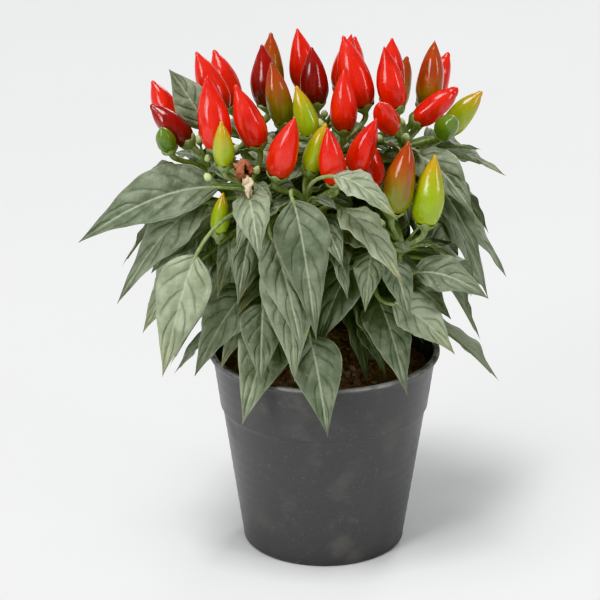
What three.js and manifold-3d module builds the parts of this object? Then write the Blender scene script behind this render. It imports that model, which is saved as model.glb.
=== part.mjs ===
// A potted ornamental chilli pepper plant: a black plastic grower's pot, its soil, a forking main stem,
// nine leafy shoots and the upright conical chillies that they carry above the leaves.
// Millimetres, +Z up, origin at the middle of the pot's underside, -Y to the side that is looked at.
import * as THREE from "three";
import { mergeVertices } from "three/addons/utils/BufferGeometryUtils.js";
import Module from "manifold-3d";

const wasm = await Module();
wasm.setup();

// Pot
const potHeight = 93;
const rimRadius = 52.5;
const rimStep = 2;
const collarTop = 90.4;
const collarFoot = 67;
const collarRadius = 47.4;
const footRadius = 37;
const wallThickness = 1.5;
const baseThickness = 1.6;
const drainRing = 27;
const drainHoles = 8;
const drainHoleRadius = 3.2;
const potSides = 28;
const collarSlope = (rimRadius - rimStep - collarRadius) / (collarTop - collarFoot);

// Soil
const soilTop = 84;
const soilGap = 0.3;
const soilSides = 28;
const soilMound = 2.2;
const stemHole = 4.1;

// Main stem and limbs
const stemFoot = 46;
const stemBend = 96;
const stemFork = 116;
const stemRadius = 3.3;
const forkRadius = 2.7;
const forkLean = new THREE.Vector3(-2, -1, 0);
const limbRadius = 2.2;
const limbEnds = [
  new THREE.Vector3(-17, -4, 142),
  new THREE.Vector3(-3, -9, 146),
  new THREE.Vector3(13, 2, 142),
];
const terminalStub = 5;
const sideStub = 11;
const seatGap = 0.3;

// Shoots: which limb carries each and how far along it, where its tip is, and its chillies. A chilli is
// given by its foot, how far it leans to the right and to the back for each unit of rise, and its length.
const shootFootRadius = 1.9;
const shootTipRadius = 1.4;
const shootPlan = [
  { limb: 0, along: 1, tip: [-50, -15, 181], chillies: [
    { foot: [-59, -20, 196], lean: [-1, 0.1], length: 23, ripeness: "dark_red" },
    { foot: [-67, -24, 194], lean: [-0.3, -0.4], length: 12, ripeness: "unripe" },
    { foot: [-64, 2, 192], lean: [-0.5, 0.2], length: 27, ripeness: "red" },
  ] },
  { limb: 0, along: 0.7, tip: [-34, -33, 181], chillies: [
    { foot: [-46, -30, 196], lean: [-0.16, 0.05], length: 32, ripeness: "red" },
    { foot: [-43, -43, 193], lean: [-0.05, -0.2], length: 21, ripeness: "yellow_green" },
    { foot: [-46, -36, 160], lean: [0.1, -0.1], length: 19, ripeness: "yellow_green", along: 0.55 },
    { foot: [-29, -28, 197], lean: [-0.3, -0.05], length: 29, ripeness: "red" },
  ] },
  { limb: 1, along: 0.85, tip: [-8, -35, 174], chillies: [
    { foot: [-21, -39, 187], lean: [0.3, -0.15], length: 29, ripeness: "red" },
    { foot: [-7, -35, 188], lean: [0.36, -0.1], length: 23, ripeness: "yellow_green" },
    { foot: [-6, -20, 199], lean: [-0.3, 0.05], length: 23, ripeness: "yellow_green" },
    { foot: [4, -40, 184], lean: [-0.15, -0.15], length: 26, ripeness: "red" },
    { foot: [12, -30, 186], lean: [0.4, 0], length: 26, ripeness: "red" },
  ] },
  { limb: 1, along: 1, tip: [4, -2, 185], chillies: [
    { foot: [-18, -10, 201], lean: [-0.2, 0], length: 28, ripeness: "turning" },
    { foot: [8, -9, 198], lean: [0.03, -0.05], length: 27, ripeness: "red" },
    { foot: [17, 9, 203], lean: [-0.3, 0.05], length: 33, ripeness: "red" },
    { foot: [-4, 12, 203], lean: [-0.1, 0.15], length: 26, ripeness: "dark_red" },
  ] },
  { limb: 2, along: 1, tip: [34, 3, 187], chillies: [
    { foot: [31, 4, 204], lean: [-0.2, 0.05], length: 28, ripeness: "red" },
    { foot: [29, -10, 199], lean: [-0.4, -1.1], length: 24, ripeness: "red" },
    { foot: [40, -3, 201], lean: [1.25, 0], length: 24, ripeness: "red" },
    { foot: [51, -4, 195], lean: [0.5, -1], length: 14, ripeness: "unripe" },
    { foot: [46, 17, 201], lean: [0.1, 0.1], length: 30, ripeness: "turning" },
  ] },
  { limb: 2, along: 0.82, tip: [33, -34, 153], chillies: [
    { foot: [21, -22, 176], lean: [-0.15, 0], length: 26, ripeness: "red" },
    { foot: [29, -38, 170], lean: [0.2, 0], length: 33, ripeness: "turning" },
    { foot: [43, -36, 164], lean: [0.12, 0], length: 31, ripeness: "yellow_green" },
  ] },
  { limb: 0, along: 0.6, tip: [-36, 23, 184], chillies: [
    { foot: [-25, 13, 202], lean: [-0.1, 0.1], length: 28, ripeness: "dark_red" },
    { foot: [-46, 15, 199], lean: [-0.35, 0.1], length: 29, ripeness: "red" },
    { foot: [-41, 33, 195], lean: [-0.3, 0.4], length: 28, ripeness: "red" },
    { foot: [-24, 31, 200], lean: [0, 0.3], length: 30, ripeness: "turning" },
  ] },
  { limb: 1, along: 0.6, tip: [0, 42, 183], chillies: [
    { foot: [-8, 34, 203], lean: [-0.1, 0.1], length: 29, ripeness: "red" },
    { foot: [8, 29, 204], lean: [0.1, 0], length: 27, ripeness: "red" },
    { foot: [11, 50, 196], lean: [0.2, 0.5], length: 28, ripeness: "red" },
    { foot: [-7, 54, 193], lean: [-0.15, 0.6], length: 25, ripeness: "yellow_green" },
  ] },
  { limb: 2, along: 0.6, tip: [37, 36, 178], chillies: [
    { foot: [29, 27, 200], lean: [0.05, 0.1], length: 29, ripeness: "red" },
    { foot: [45, 36, 194], lean: [0.45, 0.3], length: 28, ripeness: "red" },
    { foot: [33, 51, 189], lean: [0.2, 0.6], length: 26, ripeness: "turning" },
    { foot: [54, 22, 187], lean: [0.8, 0.1], length: 25, ripeness: "yellow_green" },
  ] },
];
const canopyCentre = new THREE.Vector3(-4, 1, 0);

// Chillies
const chilliSlimness = { red: 0.222, dark_red: 0.24, turning: 0.2, yellow_green: 0.22, unripe: 0.36 };
const stalkRadius = 1.05;
const calyxRadius = 4.3;
const calyxDepth = 3.4;
const chilliSides = 7;
const chilliRings = [0.012, 0.15, 0.38, 0.72, 1];

// The leaves that show at the front: the stem that carries each and how far along it, where the blade
// begins and ends, its width, how far it arches up out of its chord, and how squarely it faces the viewer
const frontLeaves = [
  { shoot: 1, along: 0.95, base: [-45, -34, 180], tip: [-106, -43, 158], width: 25, arch: 8, face: 0.7 },
  { shoot: 1, along: 0.88, base: [-50, -36, 174], tip: [-90, -46, 131], width: 22, arch: 10, face: 0.5 },
  { shoot: 1, along: 0.75, base: [-55, -47, 154], tip: [-70, -55, 101], width: 24, arch: 6, face: 0.85 },
  { limb: 0, along: 0.4, base: [-32, -29, 131], tip: [-57, -43, 96], width: 22, arch: 7, face: 0.6 },
  { shoot: 2, along: 0.15, base: [-27, -43, 130], tip: [-28, -57, 98], width: 19, arch: 5, face: 1 },
  { shoot: 2, along: 0.85, base: [-23, -50, 163], tip: [-10, -66, 117], width: 20, arch: 6, face: 0.8 },
  { shoot: 2, along: 0.97, base: [-14, -46, 178], tip: [-4, -57, 119], width: 24, arch: 9, face: 0.8 },
  { shoot: 5, along: 0.55, base: [15, -30, 149], tip: [-4, -47, 110], width: 23, arch: 6, face: 0.6 },
  { shoot: 5, along: 0.75, base: [20, -40, 153], tip: [17, -50, 129], width: 14, arch: 4, face: 0.8 },
  { shoot: 5, along: 0.95, base: [28, -48, 151], tip: [36, -58, 128], width: 13, arch: 4, face: 0.8 },
  { shoot: 5, along: 0.9, base: [38, -40, 143], tip: [70, -47, 134], width: 17, arch: 5, face: 0.7 },
  { shoot: 5, along: 0.4, base: [29, -41, 129], tip: [56, -52, 110], width: 19, arch: 5, face: 0.7 },
  { trunk: 0.86, base: [-7, -50, 118], tip: [1, -65, 77], width: 23, arch: 6, face: 1 },
  { shoot: 2, along: 1, base: [3, -44, 188], tip: [30, -58, 173], width: 15, arch: 5, face: 0.4 },
  { shoot: 2, along: 0.6, base: [6, -35, 160], tip: [26, -48, 153], width: 15, arch: 4, face: 0.5 },
  { shoot: 6, along: 0.97, base: [-51, 6, 192], tip: [-68, 10, 219], width: 17, arch: 2, face: 1 },
  { shoot: 0, along: 0.6, base: [-54, -20, 158], tip: [-76, -27, 138], width: 17, arch: 5, face: 0.6 },
  { shoot: 0, along: 0.4, base: [-60, -24, 140], tip: [-80, -32, 112], width: 15, arch: 5, face: 0.7 },
  { shoot: 1, along: 0.9, base: [-30, -43, 176], tip: [-38, -52, 156], width: 9, arch: 3, face: 0.8 },
  { shoot: 2, along: 0.5, base: [-29, -30, 154], tip: [-38, -44, 130], width: 14, arch: 4, face: 0.8 },
  { shoot: 5, along: 0.35, base: [34, -25, 133], tip: [55, -36, 120], width: 15, arch: 4, face: 0.6 },
];

// The other leaves, tier by tier from the top: where on the stem, headings off the stem's own, the rise
// of the petiole, the leaf's size, and how steeply the blade falls
const shootTiers = [
  { along: 0.98, offsets: [0, 115, 240], rise: 22, petiole: 10, blade: 26, width: 12, fall: 0 },
  { along: 0.92, offsets: [-44, 40, 180], rise: 24, petiole: 13, blade: 38, width: 17, fall: 18 },
  { along: 0.74, offsets: [-62, 0, 62], rise: 18, petiole: 16, blade: 49, width: 22, fall: 38 },
  { along: 0.5, offsets: [-34, 30], rise: 14, petiole: 19, blade: 56, width: 25, fall: 52 },
  { along: 0.22, offsets: [-10, 50], rise: 8, petiole: 22, blade: 58, width: 26, fall: 58 },
];
const middleTiers = [
  { along: 0.9, offsets: [30, 150, 270], rise: 40, petiole: 9, blade: 26, width: 13, fall: -16 },
  { along: 0.62, offsets: [0, 72, 144, 216, 288], rise: 18, petiole: 15, blade: 36, width: 18, fall: 6 },
];
const limbTier = {
  along: 0.5, offsets: [-58, 0, 58], rise: 6, petiole: 28, blade: 52, width: 24, fall: 44,
};
const stemTier = { low: 97, high: 112, rise: 26, petiole: 31, blade: 52, width: 25, fall: 42 };
const stemLeaves = 11;
const firstStemLeaf = -22;
const stemLeafArc = 260;
const middleShoot = 3;
const bladeThickness = 0.7;
const ribThickness = 1.2;
const petioleRadius = 0.95;
const petioleStations = [0, 0.45, 0.96];
const shortPetiole = 15;
const bladeStations = [0.15, 0.38, 0.7, 1];
const leafGap = 2.2;

const degree = Math.PI / 180;

// A repeatable row of draws between 0 and 1
function seededDraws(seed) {
  let state = seed;
  return () => {
    state = (state * 48271) % 2147483647;
    return state / 2147483647;
  };
}

const draw = seededDraws(20611);
const spread = (amount) => (draw() * 2 - 1) * amount;

function heading(angle, rise = 0) {
  const flat = Math.cos(rise * degree);
  return new THREE.Vector3(
    flat * Math.cos(angle * degree),
    flat * Math.sin(angle * degree),
    Math.sin(rise * degree),
  );
}

const away = (start, direction, distance) => start.clone().addScaledVector(direction, distance);

// Two directions square to an axis
function crossAxes(axis) {
  const first = new THREE.Vector3(-axis.y, axis.x, 0);
  if (first.length() < 0.05) first.set(1, 0, 0);
  first.normalize();
  return [first, axis.clone().cross(first).normalize()];
}

// Stems: each is a curve with a radius at its foot and its tip
function stem(points, footRadius, tipRadius) {
  const curve = new THREE.CubicBezierCurve3(...points);
  return { curve, radius: (along) => footRadius + (tipRadius - footRadius) * along, leaves: [] };
}

function growTrunk() {
  const foot = new THREE.Vector3(0, 0, stemFoot);
  const fork = new THREE.Vector3(0, 0, stemFork).add(forkLean);
  const up = heading(0, 90);
  const points = [foot, away(foot, up, stemBend - stemFoot), away(fork, up, -14), fork];
  return stem(points, stemRadius, forkRadius);
}

function growLimbs(trunk) {
  const fork = trunk.curve.getPoint(1);
  const up = heading(0, 90);
  return limbEnds.map((end) => {
    const outward = end.clone().sub(fork).setZ(0).normalize();
    const bend = away(fork, outward, 4).addScaledVector(up, 4);
    const points = [away(fork, up, -2), bend, away(end, up, -9), end];
    const angle = Math.atan2(outward.y, outward.x) / degree;
    return { ...stem(points, forkRadius, limbRadius), angle };
  });
}

// A shoot starts on the short stub that its limb grows towards it
function growShoots(limbs) {
  return shootPlan.map((plan) => {
    const tip = new THREE.Vector3(...plan.tip);
    const node = limbs[plan.limb].curve.getPoint(plan.along);
    const ends = plan.along === 1;
    const stubLength = ends ? terminalStub : sideStub;
    const start = away(tip.clone().sub(node).normalize(), heading(0, 90), ends ? 0.35 : -0.1).normalize();
    const foot = away(node, start, stubLength);
    const outward = tip.clone().sub(canopyCentre).setZ(0);
    const angle = Math.atan2(outward.y, outward.x) / degree;
    const arrival = heading(angle, 90 - Math.min(outward.length(), 40) / 2);
    const reach = foot.distanceTo(tip) / 3;
    const points = [foot, away(foot, start, reach), away(tip, arrival, -reach), tip];
    const grown = stem(points, shootFootRadius, shootTipRadius);
    return { ...grown, angle, axis: arrival, node, start, stubLength, chillies: [], leaves: [] };
  });
}

// A chilli's outline: a narrow shoulder, fullest at a third, then a long point
function chilliOutline(t) {
  const shoulder = 0.3;
  if (t < shoulder) return 1 - 0.42 * ((shoulder - t) / shoulder) ** 2.2;
  return 1 - ((t - shoulder) / (1 - shoulder)) ** 1.65;
}

function chilliSpine(chilli, t) {
  const bowed = chilli.bow * chilli.length * t * t;
  return away(chilli.foot, chilli.axis, chilli.length * t).addScaledVector(chilli.bowSide, bowed);
}

const obstacles = [];

// A stem is no obstacle to what it carries itself
function clearOf(samples, gap, holder) {
  return samples.every(([p, r]) =>
    obstacles.every(([q, s, owner]) => owner === holder || p.distanceToSquared(q) > (r + s + gap) ** 2),
  );
}

function chilliSamples(chilli) {
  return [0.06, 0.2, 0.35, 0.5, 0.65, 0.8, 0.95].map((t) => [
    chilliSpine(chilli, t),
    Math.max(chilli.radius * chilliOutline(t), 1),
  ]);
}

const stalkSamples = (chilli) => [0.3, 0.5, 0.7, 0.9].map((t) => [chilli.stalk.getPoint(t), 1.2]);

const lineOfSight = heading(90, -21);
const nudges = [0, 2, -2, 4, -4, 6, -6, 8, -8, 11, -11, 14, -14];

// Moves a chilli along the line of sight, try by try, until it stands clear of the others
function growChilli(shoot, { foot, lean, length, ripeness, along }, n) {
  const axis = new THREE.Vector3(...lean, 1).normalize();
  const radius = length * chilliSlimness[ripeness];
  const bow = spread(0.07);
  const bowSide = crossAxes(axis)[n % 2];
  const from = shoot.curve.getPoint(along ?? 0.99 - 0.035 * n);
  for (const nudge of nudges) {
    const stand = away(new THREE.Vector3(...foot), lineOfSight, nudge);
    const calyx = away(stand, axis, -calyxDepth);
    const bend = away(from, shoot.axis, from.distanceTo(calyx) * 0.3);
    const stalk = new THREE.CubicBezierCurve3(from, bend, away(calyx, axis, -5), calyx);
    const chilli = { foot: stand, axis, bow, bowSide, stalk, length, radius, ripeness };
    if (!clearOf([...chilliSamples(chilli), ...stalkSamples(chilli).slice(1)], 0.8, shoot)) continue;
    obstacles.push(...chilliSamples(chilli), ...stalkSamples(chilli), [stand, calyxRadius]);
    shoot.chillies.push(chilli);
    return;
  }
}

// Half the blade's width along its length: broadest at a third, drawn out to a point
function bladeOutline(t) {
  const bow = Math.sin(Math.PI * Math.min(t, 1) ** 0.8);
  return (Math.max(bow, 0) ** 1.1 * (1 - 0.3 * t)) / 0.88;
}

// A leaf's midline: the petiole leaves the stem and bends into the blade, which arches and then falls
function finishLeaf(leaf) {
  const chord = leaf.tip.clone().sub(leaf.base);
  const crest = away(leaf.base, chord, 0.42).add(new THREE.Vector3(0, 0, leaf.arch * 1.6));
  const entry = crest.clone().sub(leaf.base).normalize();
  const bend = away(leaf.base, entry, -0.5 * leaf.root.distanceTo(leaf.base));
  leaf.petiole = new THREE.QuadraticBezierCurve3(leaf.root, bend, leaf.base);
  leaf.blade = new THREE.QuadraticBezierCurve3(leaf.base, crest, leaf.tip);
  leaf.flat = new THREE.Vector3(-chord.y, chord.x, 0).normalize();
  if (chord.clone().setZ(0).length() < 12) {
    const out = leaf.base.clone().sub(leaf.root);
    leaf.flat.set(-out.y, out.x, 0).normalize();
  }
  return leaf;
}

// The midline's point with the directions across the blade and out of its upper face
function frameOn(leaf, curve, t, turned) {
  const along = curve.getTangent(t);
  const flat = away(leaf.flat, along, -leaf.flat.dot(along)).normalize();
  const square = along.clone().cross(flat);
  const turn = leaf.turn * turned * degree;
  const side = flat.clone().multiplyScalar(Math.cos(turn)).addScaledVector(square, Math.sin(turn));
  const normal = square.multiplyScalar(Math.cos(turn)).addScaledVector(flat, -Math.sin(turn));
  return { point: curve.getPoint(t), side, normal };
}

// The turn that brings a hanging blade's upper face round to a direction
function turnTowards(leaf, direction) {
  const { side, normal } = frameOn({ ...leaf, turn: 0 }, leaf.blade, 0.5, 1);
  return Math.atan2(-side.dot(direction), normal.dot(direction)) / degree;
}

// How far the blade stands off its midrib at a share x of its half width
function bladeLift(leaf, t, x, half) {
  const wave = leaf.wave * Math.sin(2 * Math.PI * (leaf.waves * t + leaf.phase)) * x * Math.abs(x);
  return leaf.fold * half * Math.abs(x) + wave * Math.min(1, half / 6);
}

function bladePoint(leaf, t, x, offset) {
  const { point, side, normal } = frameOn(leaf, leaf.blade, t, 1);
  const half = Math.max((leaf.width / 2) * bladeOutline(t), 0.5);
  return point
    .addScaledVector(side, half * x)
    .addScaledVector(normal, bladeLift(leaf, t, x, half) + offset);
}

function leafSamples(leaf) {
  const samples = [0.25, 0.4, 0.55, 0.7, 0.85].map((t) => [leaf.petiole.getPoint(t), -0.2]);
  for (let i = 0; i <= 12; i++)
    for (const x of [-0.96, -0.64, -0.32, 0, 0.32, 0.64, 0.96])
      samples.push([bladePoint(leaf, i / 12, x, 0), 0]);
  return samples;
}

function overPot([p]) {
  const out = Math.hypot(p.x, p.y);
  const clearsRim = p.z > potHeight + 2 || out > rimRadius + 2.5 || out < rimRadius - 7;
  const clearsSoil = p.z > soilTop + 4 || out > rimRadius + 2.5;
  return clearsRim && clearsSoil && p.z > 20;
}

function keepLeaf(leaf, holder, gap) {
  const samples = leafSamples(leaf);
  if (!samples.every(overPot) || !clearOf(samples, gap, holder)) return false;
  obstacles.push(...samples.map(([p]) => [p, leafGap / 2]));
  holder.leaves.push(leaf);
  return true;
}

const leafLook = (width) => ({
  width,
  fold: 0.1 + spread(0.18),
  wave: 0.7 + draw() * 0.9,
  waves: 1.6 + draw(),
  phase: draw(),
});

// The leaves seen at the front are moved along the line of sight until they are clear
function growFrontLeaf(plan, holder) {
  const root = holder.curve.getPoint(Math.min(plan.along ?? plan.trunk, 0.985));
  const look = leafLook(plan.width);
  for (const nudge of nudges) {
    const base = away(new THREE.Vector3(...plan.base), lineOfSight, nudge);
    const tip = away(new THREE.Vector3(...plan.tip), lineOfSight, nudge);
    const leaf = finishLeaf({ ...look, root, base, tip, arch: plan.arch });
    leaf.turn = plan.face * turnTowards(leaf, lineOfSight.clone().negate());
    if (keepLeaf(leaf, holder, leafGap * 0.7)) return;
  }
}

// Any other leaf is turned, lifted and at last made smaller until it is clear
function growLeaf(tier, holder, along, angle) {
  const root = holder.curve.getPoint(Math.min(along, 0.985));
  const grown = 1 + spread(0.13);
  const look = leafLook(tier.width * grown * (1 + spread(0.1)));
  const way = angle + spread(8);
  const rise = tier.rise + spread(10);
  const fall = tier.fall + spread(14);
  const reach = tier.petiole * (1 + spread(0.2));
  const sweep = spread(16);
  const turn = spread(32);
  for (const size of [1, 0.84, 0.7])
    for (const lift of [0, 10, -10, 20, -20])
      for (const swing of [0, 9, -9, 18, -18, 27, -27]) {
        const base = away(root, heading(way + swing, rise + lift), reach);
        const blade = tier.blade * grown * size;
        const tip = away(base, heading(way + swing + sweep, lift * 0.7 - fall), blade);
        const arch = blade * (0.1 + 0.0012 * fall);
        const leaf = finishLeaf({ ...look, width: look.width * size, root, base, tip, arch, turn });
        if (keepLeaf(leaf, holder, leafGap)) return;
      }
}

function growTier(holder, tier) {
  for (const offset of tier.offsets)
    growLeaf(tier, holder, tier.along + spread(0.05), holder.angle + offset);
}

function growStemLeaves(trunk) {
  for (let n = 0; n < stemLeaves; n++) {
    const height = stemTier.low + (stemTier.high - stemTier.low) * ((n * 0.618) % 1);
    const along = (height - stemFoot) / (stemFork - stemFoot);
    growLeaf(stemTier, trunk, along, firstStemLeaf + (stemLeafArc / (stemLeaves - 1)) * n + spread(6));
  }
}

function growPlant() {
  const trunk = growTrunk();
  const limbs = growLimbs(trunk);
  const shoots = growShoots(limbs);
  for (const holder of [trunk, ...limbs, ...shoots])
    for (let i = 0; i <= 20; i++)
      obstacles.push([holder.curve.getPoint(i / 20), holder.radius(i / 20) - 0.6, holder]);
  for (const { node, start, stubLength } of shoots)
    for (const t of [0.25, 0.5, 0.75, 1]) obstacles.push([away(node, start, t * stubLength), 1.4]);
  shoots.forEach((shoot, k) => shootPlan[k].chillies.forEach((plan, n) => growChilli(shoot, plan, n)));
  for (const plan of frontLeaves) {
    const holder = plan.trunk ? trunk : "limb" in plan ? limbs[plan.limb] : shoots[plan.shoot];
    growFrontLeaf(plan, holder);
  }
  const outer = shoots.filter((_, k) => k !== middleShoot);
  for (const tier of shootTiers) for (const shoot of outer) growTier(shoot, tier);
  for (const tier of middleTiers) growTier(shoots[middleShoot], tier);
  for (const limb of limbs) growTier(limb, limbTier);
  growStemLeaves(trunk);
  return { trunk, limbs, shoots };
}

// A closed skin over rings of equal numbers of points. Edges from flipFrom on are split the other way,
// so that a blade's two faces are split alike.
function loft(rings, flipFrom = Infinity) {
  const sides = rings[0].length;
  const index = [];
  for (let i = 0; i + 1 < rings.length; i++)
    for (let j = 0; j < sides; j++) {
      const a = i * sides + j;
      const b = i * sides + ((j + 1) % sides);
      const [c, d] = [a + sides, b + sides];
      if (j < flipFrom) index.push(a, b, d, a, d, c);
      else index.push(a, b, c, b, d, c);
    }
  const last = (rings.length - 1) * sides;
  for (let j = 1; j + 1 < sides; j++) {
    index.push(0, j + 1, j);
    index.push(last, last + j, last + j + 1);
  }
  const geometry = new THREE.BufferGeometry().setFromPoints(rings.flat());
  return geometry.setIndex(index);
}

// A round skin through stations, each a middle, an axis and a radius
function sweep(stations, sides) {
  let [first] = crossAxes(stations[0].axis);
  return loft(stations.map(({ middle, axis, radius }) => {
    first = away(first, axis, -first.dot(axis)).normalize();
    const second = axis.clone().cross(first);
    return Array.from({ length: sides }, (_, j) => {
      const turn = (2 * Math.PI * j) / sides;
      return away(away(middle, first, radius * Math.cos(turn)), second, radius * Math.sin(turn));
    });
  }));
}

function stationOn(curve, t, radius) {
  return { middle: curve.getPoint(t), axis: curve.getTangent(t), radius };
}

function tube(curve, radius, sides, steps) {
  const stops = Array.from({ length: steps + 1 }, (_, i) => i / steps);
  return sweep(stops.map((t) => stationOn(curve, t, radius(t))), sides);
}

// Joining and cutting
function solid(geometry) {
  const bare = geometry.clone();
  bare.deleteAttribute("normal");
  bare.deleteAttribute("uv");
  const merged = mergeVertices(bare, 1e-4);
  return new wasm.Manifold(
    new wasm.Mesh({
      numProp: 3,
      vertProperties: merged.attributes.position.array,
      triVerts: new Uint32Array(merged.index.array),
    }),
  );
}

function geometryOf(made) {
  const { vertProperties, triVerts } = made.getMesh();
  return new THREE.BufferGeometry()
    .setAttribute("position", new THREE.BufferAttribute(vertProperties, 3))
    .setIndex(new THREE.BufferAttribute(triVerts, 1));
}

const join = (geometries) => geometryOf(geometries.map(solid).reduce((a, b) => a.add(b)));

// A leaf from the stem to its tip: a slim petiole that widens into a thin blade with a thicker midrib
function leafGeometry(leaf) {
  const bends = leaf.root.distanceTo(leaf.base) > shortPetiole;
  const rings = petioleStations.filter((_, i) => bends || i !== 1).map((t) => {
    const { point, side, normal } = frameOn(leaf, leaf.petiole, t, t);
    const corner = (x, z) => point.clone().addScaledVector(side, x).addScaledVector(normal, z);
    const [wide, flat] = [petioleRadius * 0.95, petioleRadius * 0.6];
    return [
      corner(-wide, flat), corner(-wide, -flat), corner(0, -petioleRadius),
      corner(wide, -flat), corner(wide, flat), corner(0, petioleRadius),
    ];
  });
  for (const t of bladeStations) {
    const rib = t < 1 ? ribThickness / 2 : bladeThickness / 2;
    const edge = bladeThickness / 2;
    rings.push([
      bladePoint(leaf, t, -1, edge), bladePoint(leaf, t, -1, -edge), bladePoint(leaf, t, 0, -rib),
      bladePoint(leaf, t, 1, -edge), bladePoint(leaf, t, 1, edge), bladePoint(leaf, t, 0, rib),
    ]);
  }
  return loft(rings, 3);
}

function chilliGeometry(chilli) {
  const stations = chilliRings.map((t) => ({
    middle: chilliSpine(chilli, t),
    axis: chilli.axis,
    radius: Math.max(chilli.radius * chilliOutline(t), 0.4),
  }));
  return sweep(stations, chilliSides);
}

// The stalk widens into the green cup that a chilli stands in
function stalkGeometry({ stalk, foot, axis }) {
  const cup = [[0.6, 2.8], [0, calyxRadius]].map(([depth, radius]) => ({
    middle: away(foot, axis, -depth * calyxDepth),
    axis,
    radius,
  }));
  return sweep([...[0, 0.5, 0.97].map((t) => stationOn(stalk, t, stalkRadius)), ...cup], 5);
}

function shootGeometry(shoot) {
  return join([
    tube(shoot.curve, shoot.radius, 5, 5),
    ...shoot.leaves.map(leafGeometry),
    ...shoot.chillies.map(stalkGeometry),
  ]);
}

function mainStemGeometry({ trunk, limbs, shoots }) {
  const stubs = shoots.map(({ node, start, stubLength }) => {
    const path = new THREE.LineCurve3(away(node, start, -1.2), away(node, start, stubLength - seatGap));
    return tube(path, () => shootFootRadius, 5, 1);
  });
  return join([
    tube(trunk.curve, trunk.radius, 7, 5),
    ...limbs.map((limb) => tube(limb.curve, limb.radius, 6, 4)),
    ...stubs,
    ...[trunk, ...limbs].flatMap(({ leaves }) => leaves.map(leafGeometry)),
  ]);
}

// Pot: one shell turned round its axis, with drain holes in the base
function potGeometry() {
  const lipTop = potHeight - 0.6;
  const innerRim = collarRadius - wallThickness + collarSlope * (potHeight - collarFoot);
  const innerFoot = footRadius - wallThickness;
  const profile = [
    [0, 0], [footRadius - 1, 0], [footRadius, 1.2],
    [collarRadius - 1, collarFoot - 1.2], [collarRadius, collarFoot], [rimRadius - rimStep, collarTop],
    [rimRadius, collarTop + 0.5], [rimRadius, lipTop], [rimRadius - 0.8, potHeight], [innerRim, potHeight],
    [collarRadius - wallThickness, collarFoot], [collarRadius - 1 - wallThickness, collarFoot - 1.2],
    [innerFoot, baseThickness + 0.8], [innerFoot - 0.8, baseThickness], [0, baseThickness],
  ].map(([r, z]) => new THREE.Vector2(r, z));
  const shell = new THREE.LatheGeometry(profile, potSides).rotateX(Math.PI / 2);
  let pot = solid(shell);
  for (let n = 0; n < drainHoles; n++) {
    const middle = heading((360 / drainHoles) * n).multiplyScalar(drainRing);
    const hole = new THREE.CylinderGeometry(drainHoleRadius, drainHoleRadius, 12, 10)
      .rotateX(Math.PI / 2)
      .translate(middle.x, middle.y, 0);
    pot = pot.subtract(solid(hole));
  }
  return geometryOf(pot);
}

function soilHeight(x, y) {
  const out = Math.hypot(x, y) / 48;
  const broad = Math.sin(x * 0.23 + 1.1) * Math.cos(y * 0.27 - 0.4);
  const narrow = Math.sin(x * 0.5 - y * 0.41 + 2);
  return soilTop + soilMound * (0.5 - out * out) + 0.8 * broad + 0.48 * narrow;
}

// Soil fills the pot to 9 mm under the rim and is loose and uneven on top
function soilGeometry() {
  const gap = wallThickness + soilGap + 0.1;
  const edge = collarRadius + collarSlope * (soilTop - 1.5 - collarFoot) - gap;
  const rings = [43, 36, 28, 18, 8];
  const profile = [
    [0, baseThickness + soilGap], [footRadius - gap - 1, baseThickness + soilGap],
    [footRadius - gap, baseThickness + 1.4], [collarRadius - 1 - gap, collarFoot - 1.4],
    [collarRadius - gap, collarFoot + 0.2], [edge, soilTop - 1.5],
    ...rings.map((r) => [r, soilTop]), [0, soilTop],
  ].map(([r, z]) => new THREE.Vector2(r, z));
  const body = new THREE.LatheGeometry(profile, soilSides).rotateX(Math.PI / 2);
  const position = body.attributes.position;
  for (let i = 0; i < position.count; i++) {
    if (position.getZ(i) < soilTop - 0.01) continue;
    position.setZ(i, soilHeight(position.getX(i), position.getY(i)));
  }
  const holeDepth = soilTop - stemFoot;
  const hole = new THREE.CylinderGeometry(stemHole, stemHole, holeDepth * 2, 9)
    .rotateX(Math.PI / 2)
    .translate(0, 0, stemFoot - soilGap + holeDepth);
  return geometryOf(solid(body).subtract(solid(hole)));
}

// Materials
const finish = (color, roughness) => new THREE.MeshStandardMaterial({ color, roughness, metalness: 0 });
const potPlastic = finish(0x2b2b2c, 0.5);
const soilPeat = finish(0x3a2a20, 1);
const leafGreen = finish(0x5f7048, 0.6);
const stemGreen = finish(0x5b6b3c, 0.7);
const chilliFinish = {
  red: finish(0xd8200f, 0.25),
  dark_red: finish(0x8f1410, 0.25),
  turning: finish(0xb8641a, 0.28),
  yellow_green: finish(0x9caf1e, 0.3),
  unripe: finish(0x5c8a22, 0.3),
};

const plant = growPlant();
const potted = new THREE.Group();

function addPiece(name, geometry, material) {
  const mesh = new THREE.Mesh(geometry, material);
  mesh.name = name;
  potted.add(mesh);
}

addPiece("pot", potGeometry(), potPlastic);
addPiece("soil", soilGeometry(), soilPeat);
addPiece("main_stem", mainStemGeometry(plant), stemGreen);
plant.shoots.forEach((shoot, k) => addPiece(`leafy_shoot_${k + 1}`, shootGeometry(shoot), leafGreen));
plant.shoots
  .flatMap((shoot) => shoot.chillies)
  .forEach((chilli, n) => {
    const lifted = { ...chilli, foot: away(chilli.foot, chilli.axis, seatGap - 0.012 * chilli.length) };
    const name = `chilli_${String(n + 1).padStart(2, "0")}_${chilli.ripeness}`;
    addPiece(name, chilliGeometry(lifted), chilliFinish[chilli.ripeness]);
  });

export default potted;
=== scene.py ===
import math
from collections import namedtuple
from functools import partialmethod
from itertools import product
from types import SimpleNamespace

import bpy
import numpy as np
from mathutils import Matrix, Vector, noise


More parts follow.
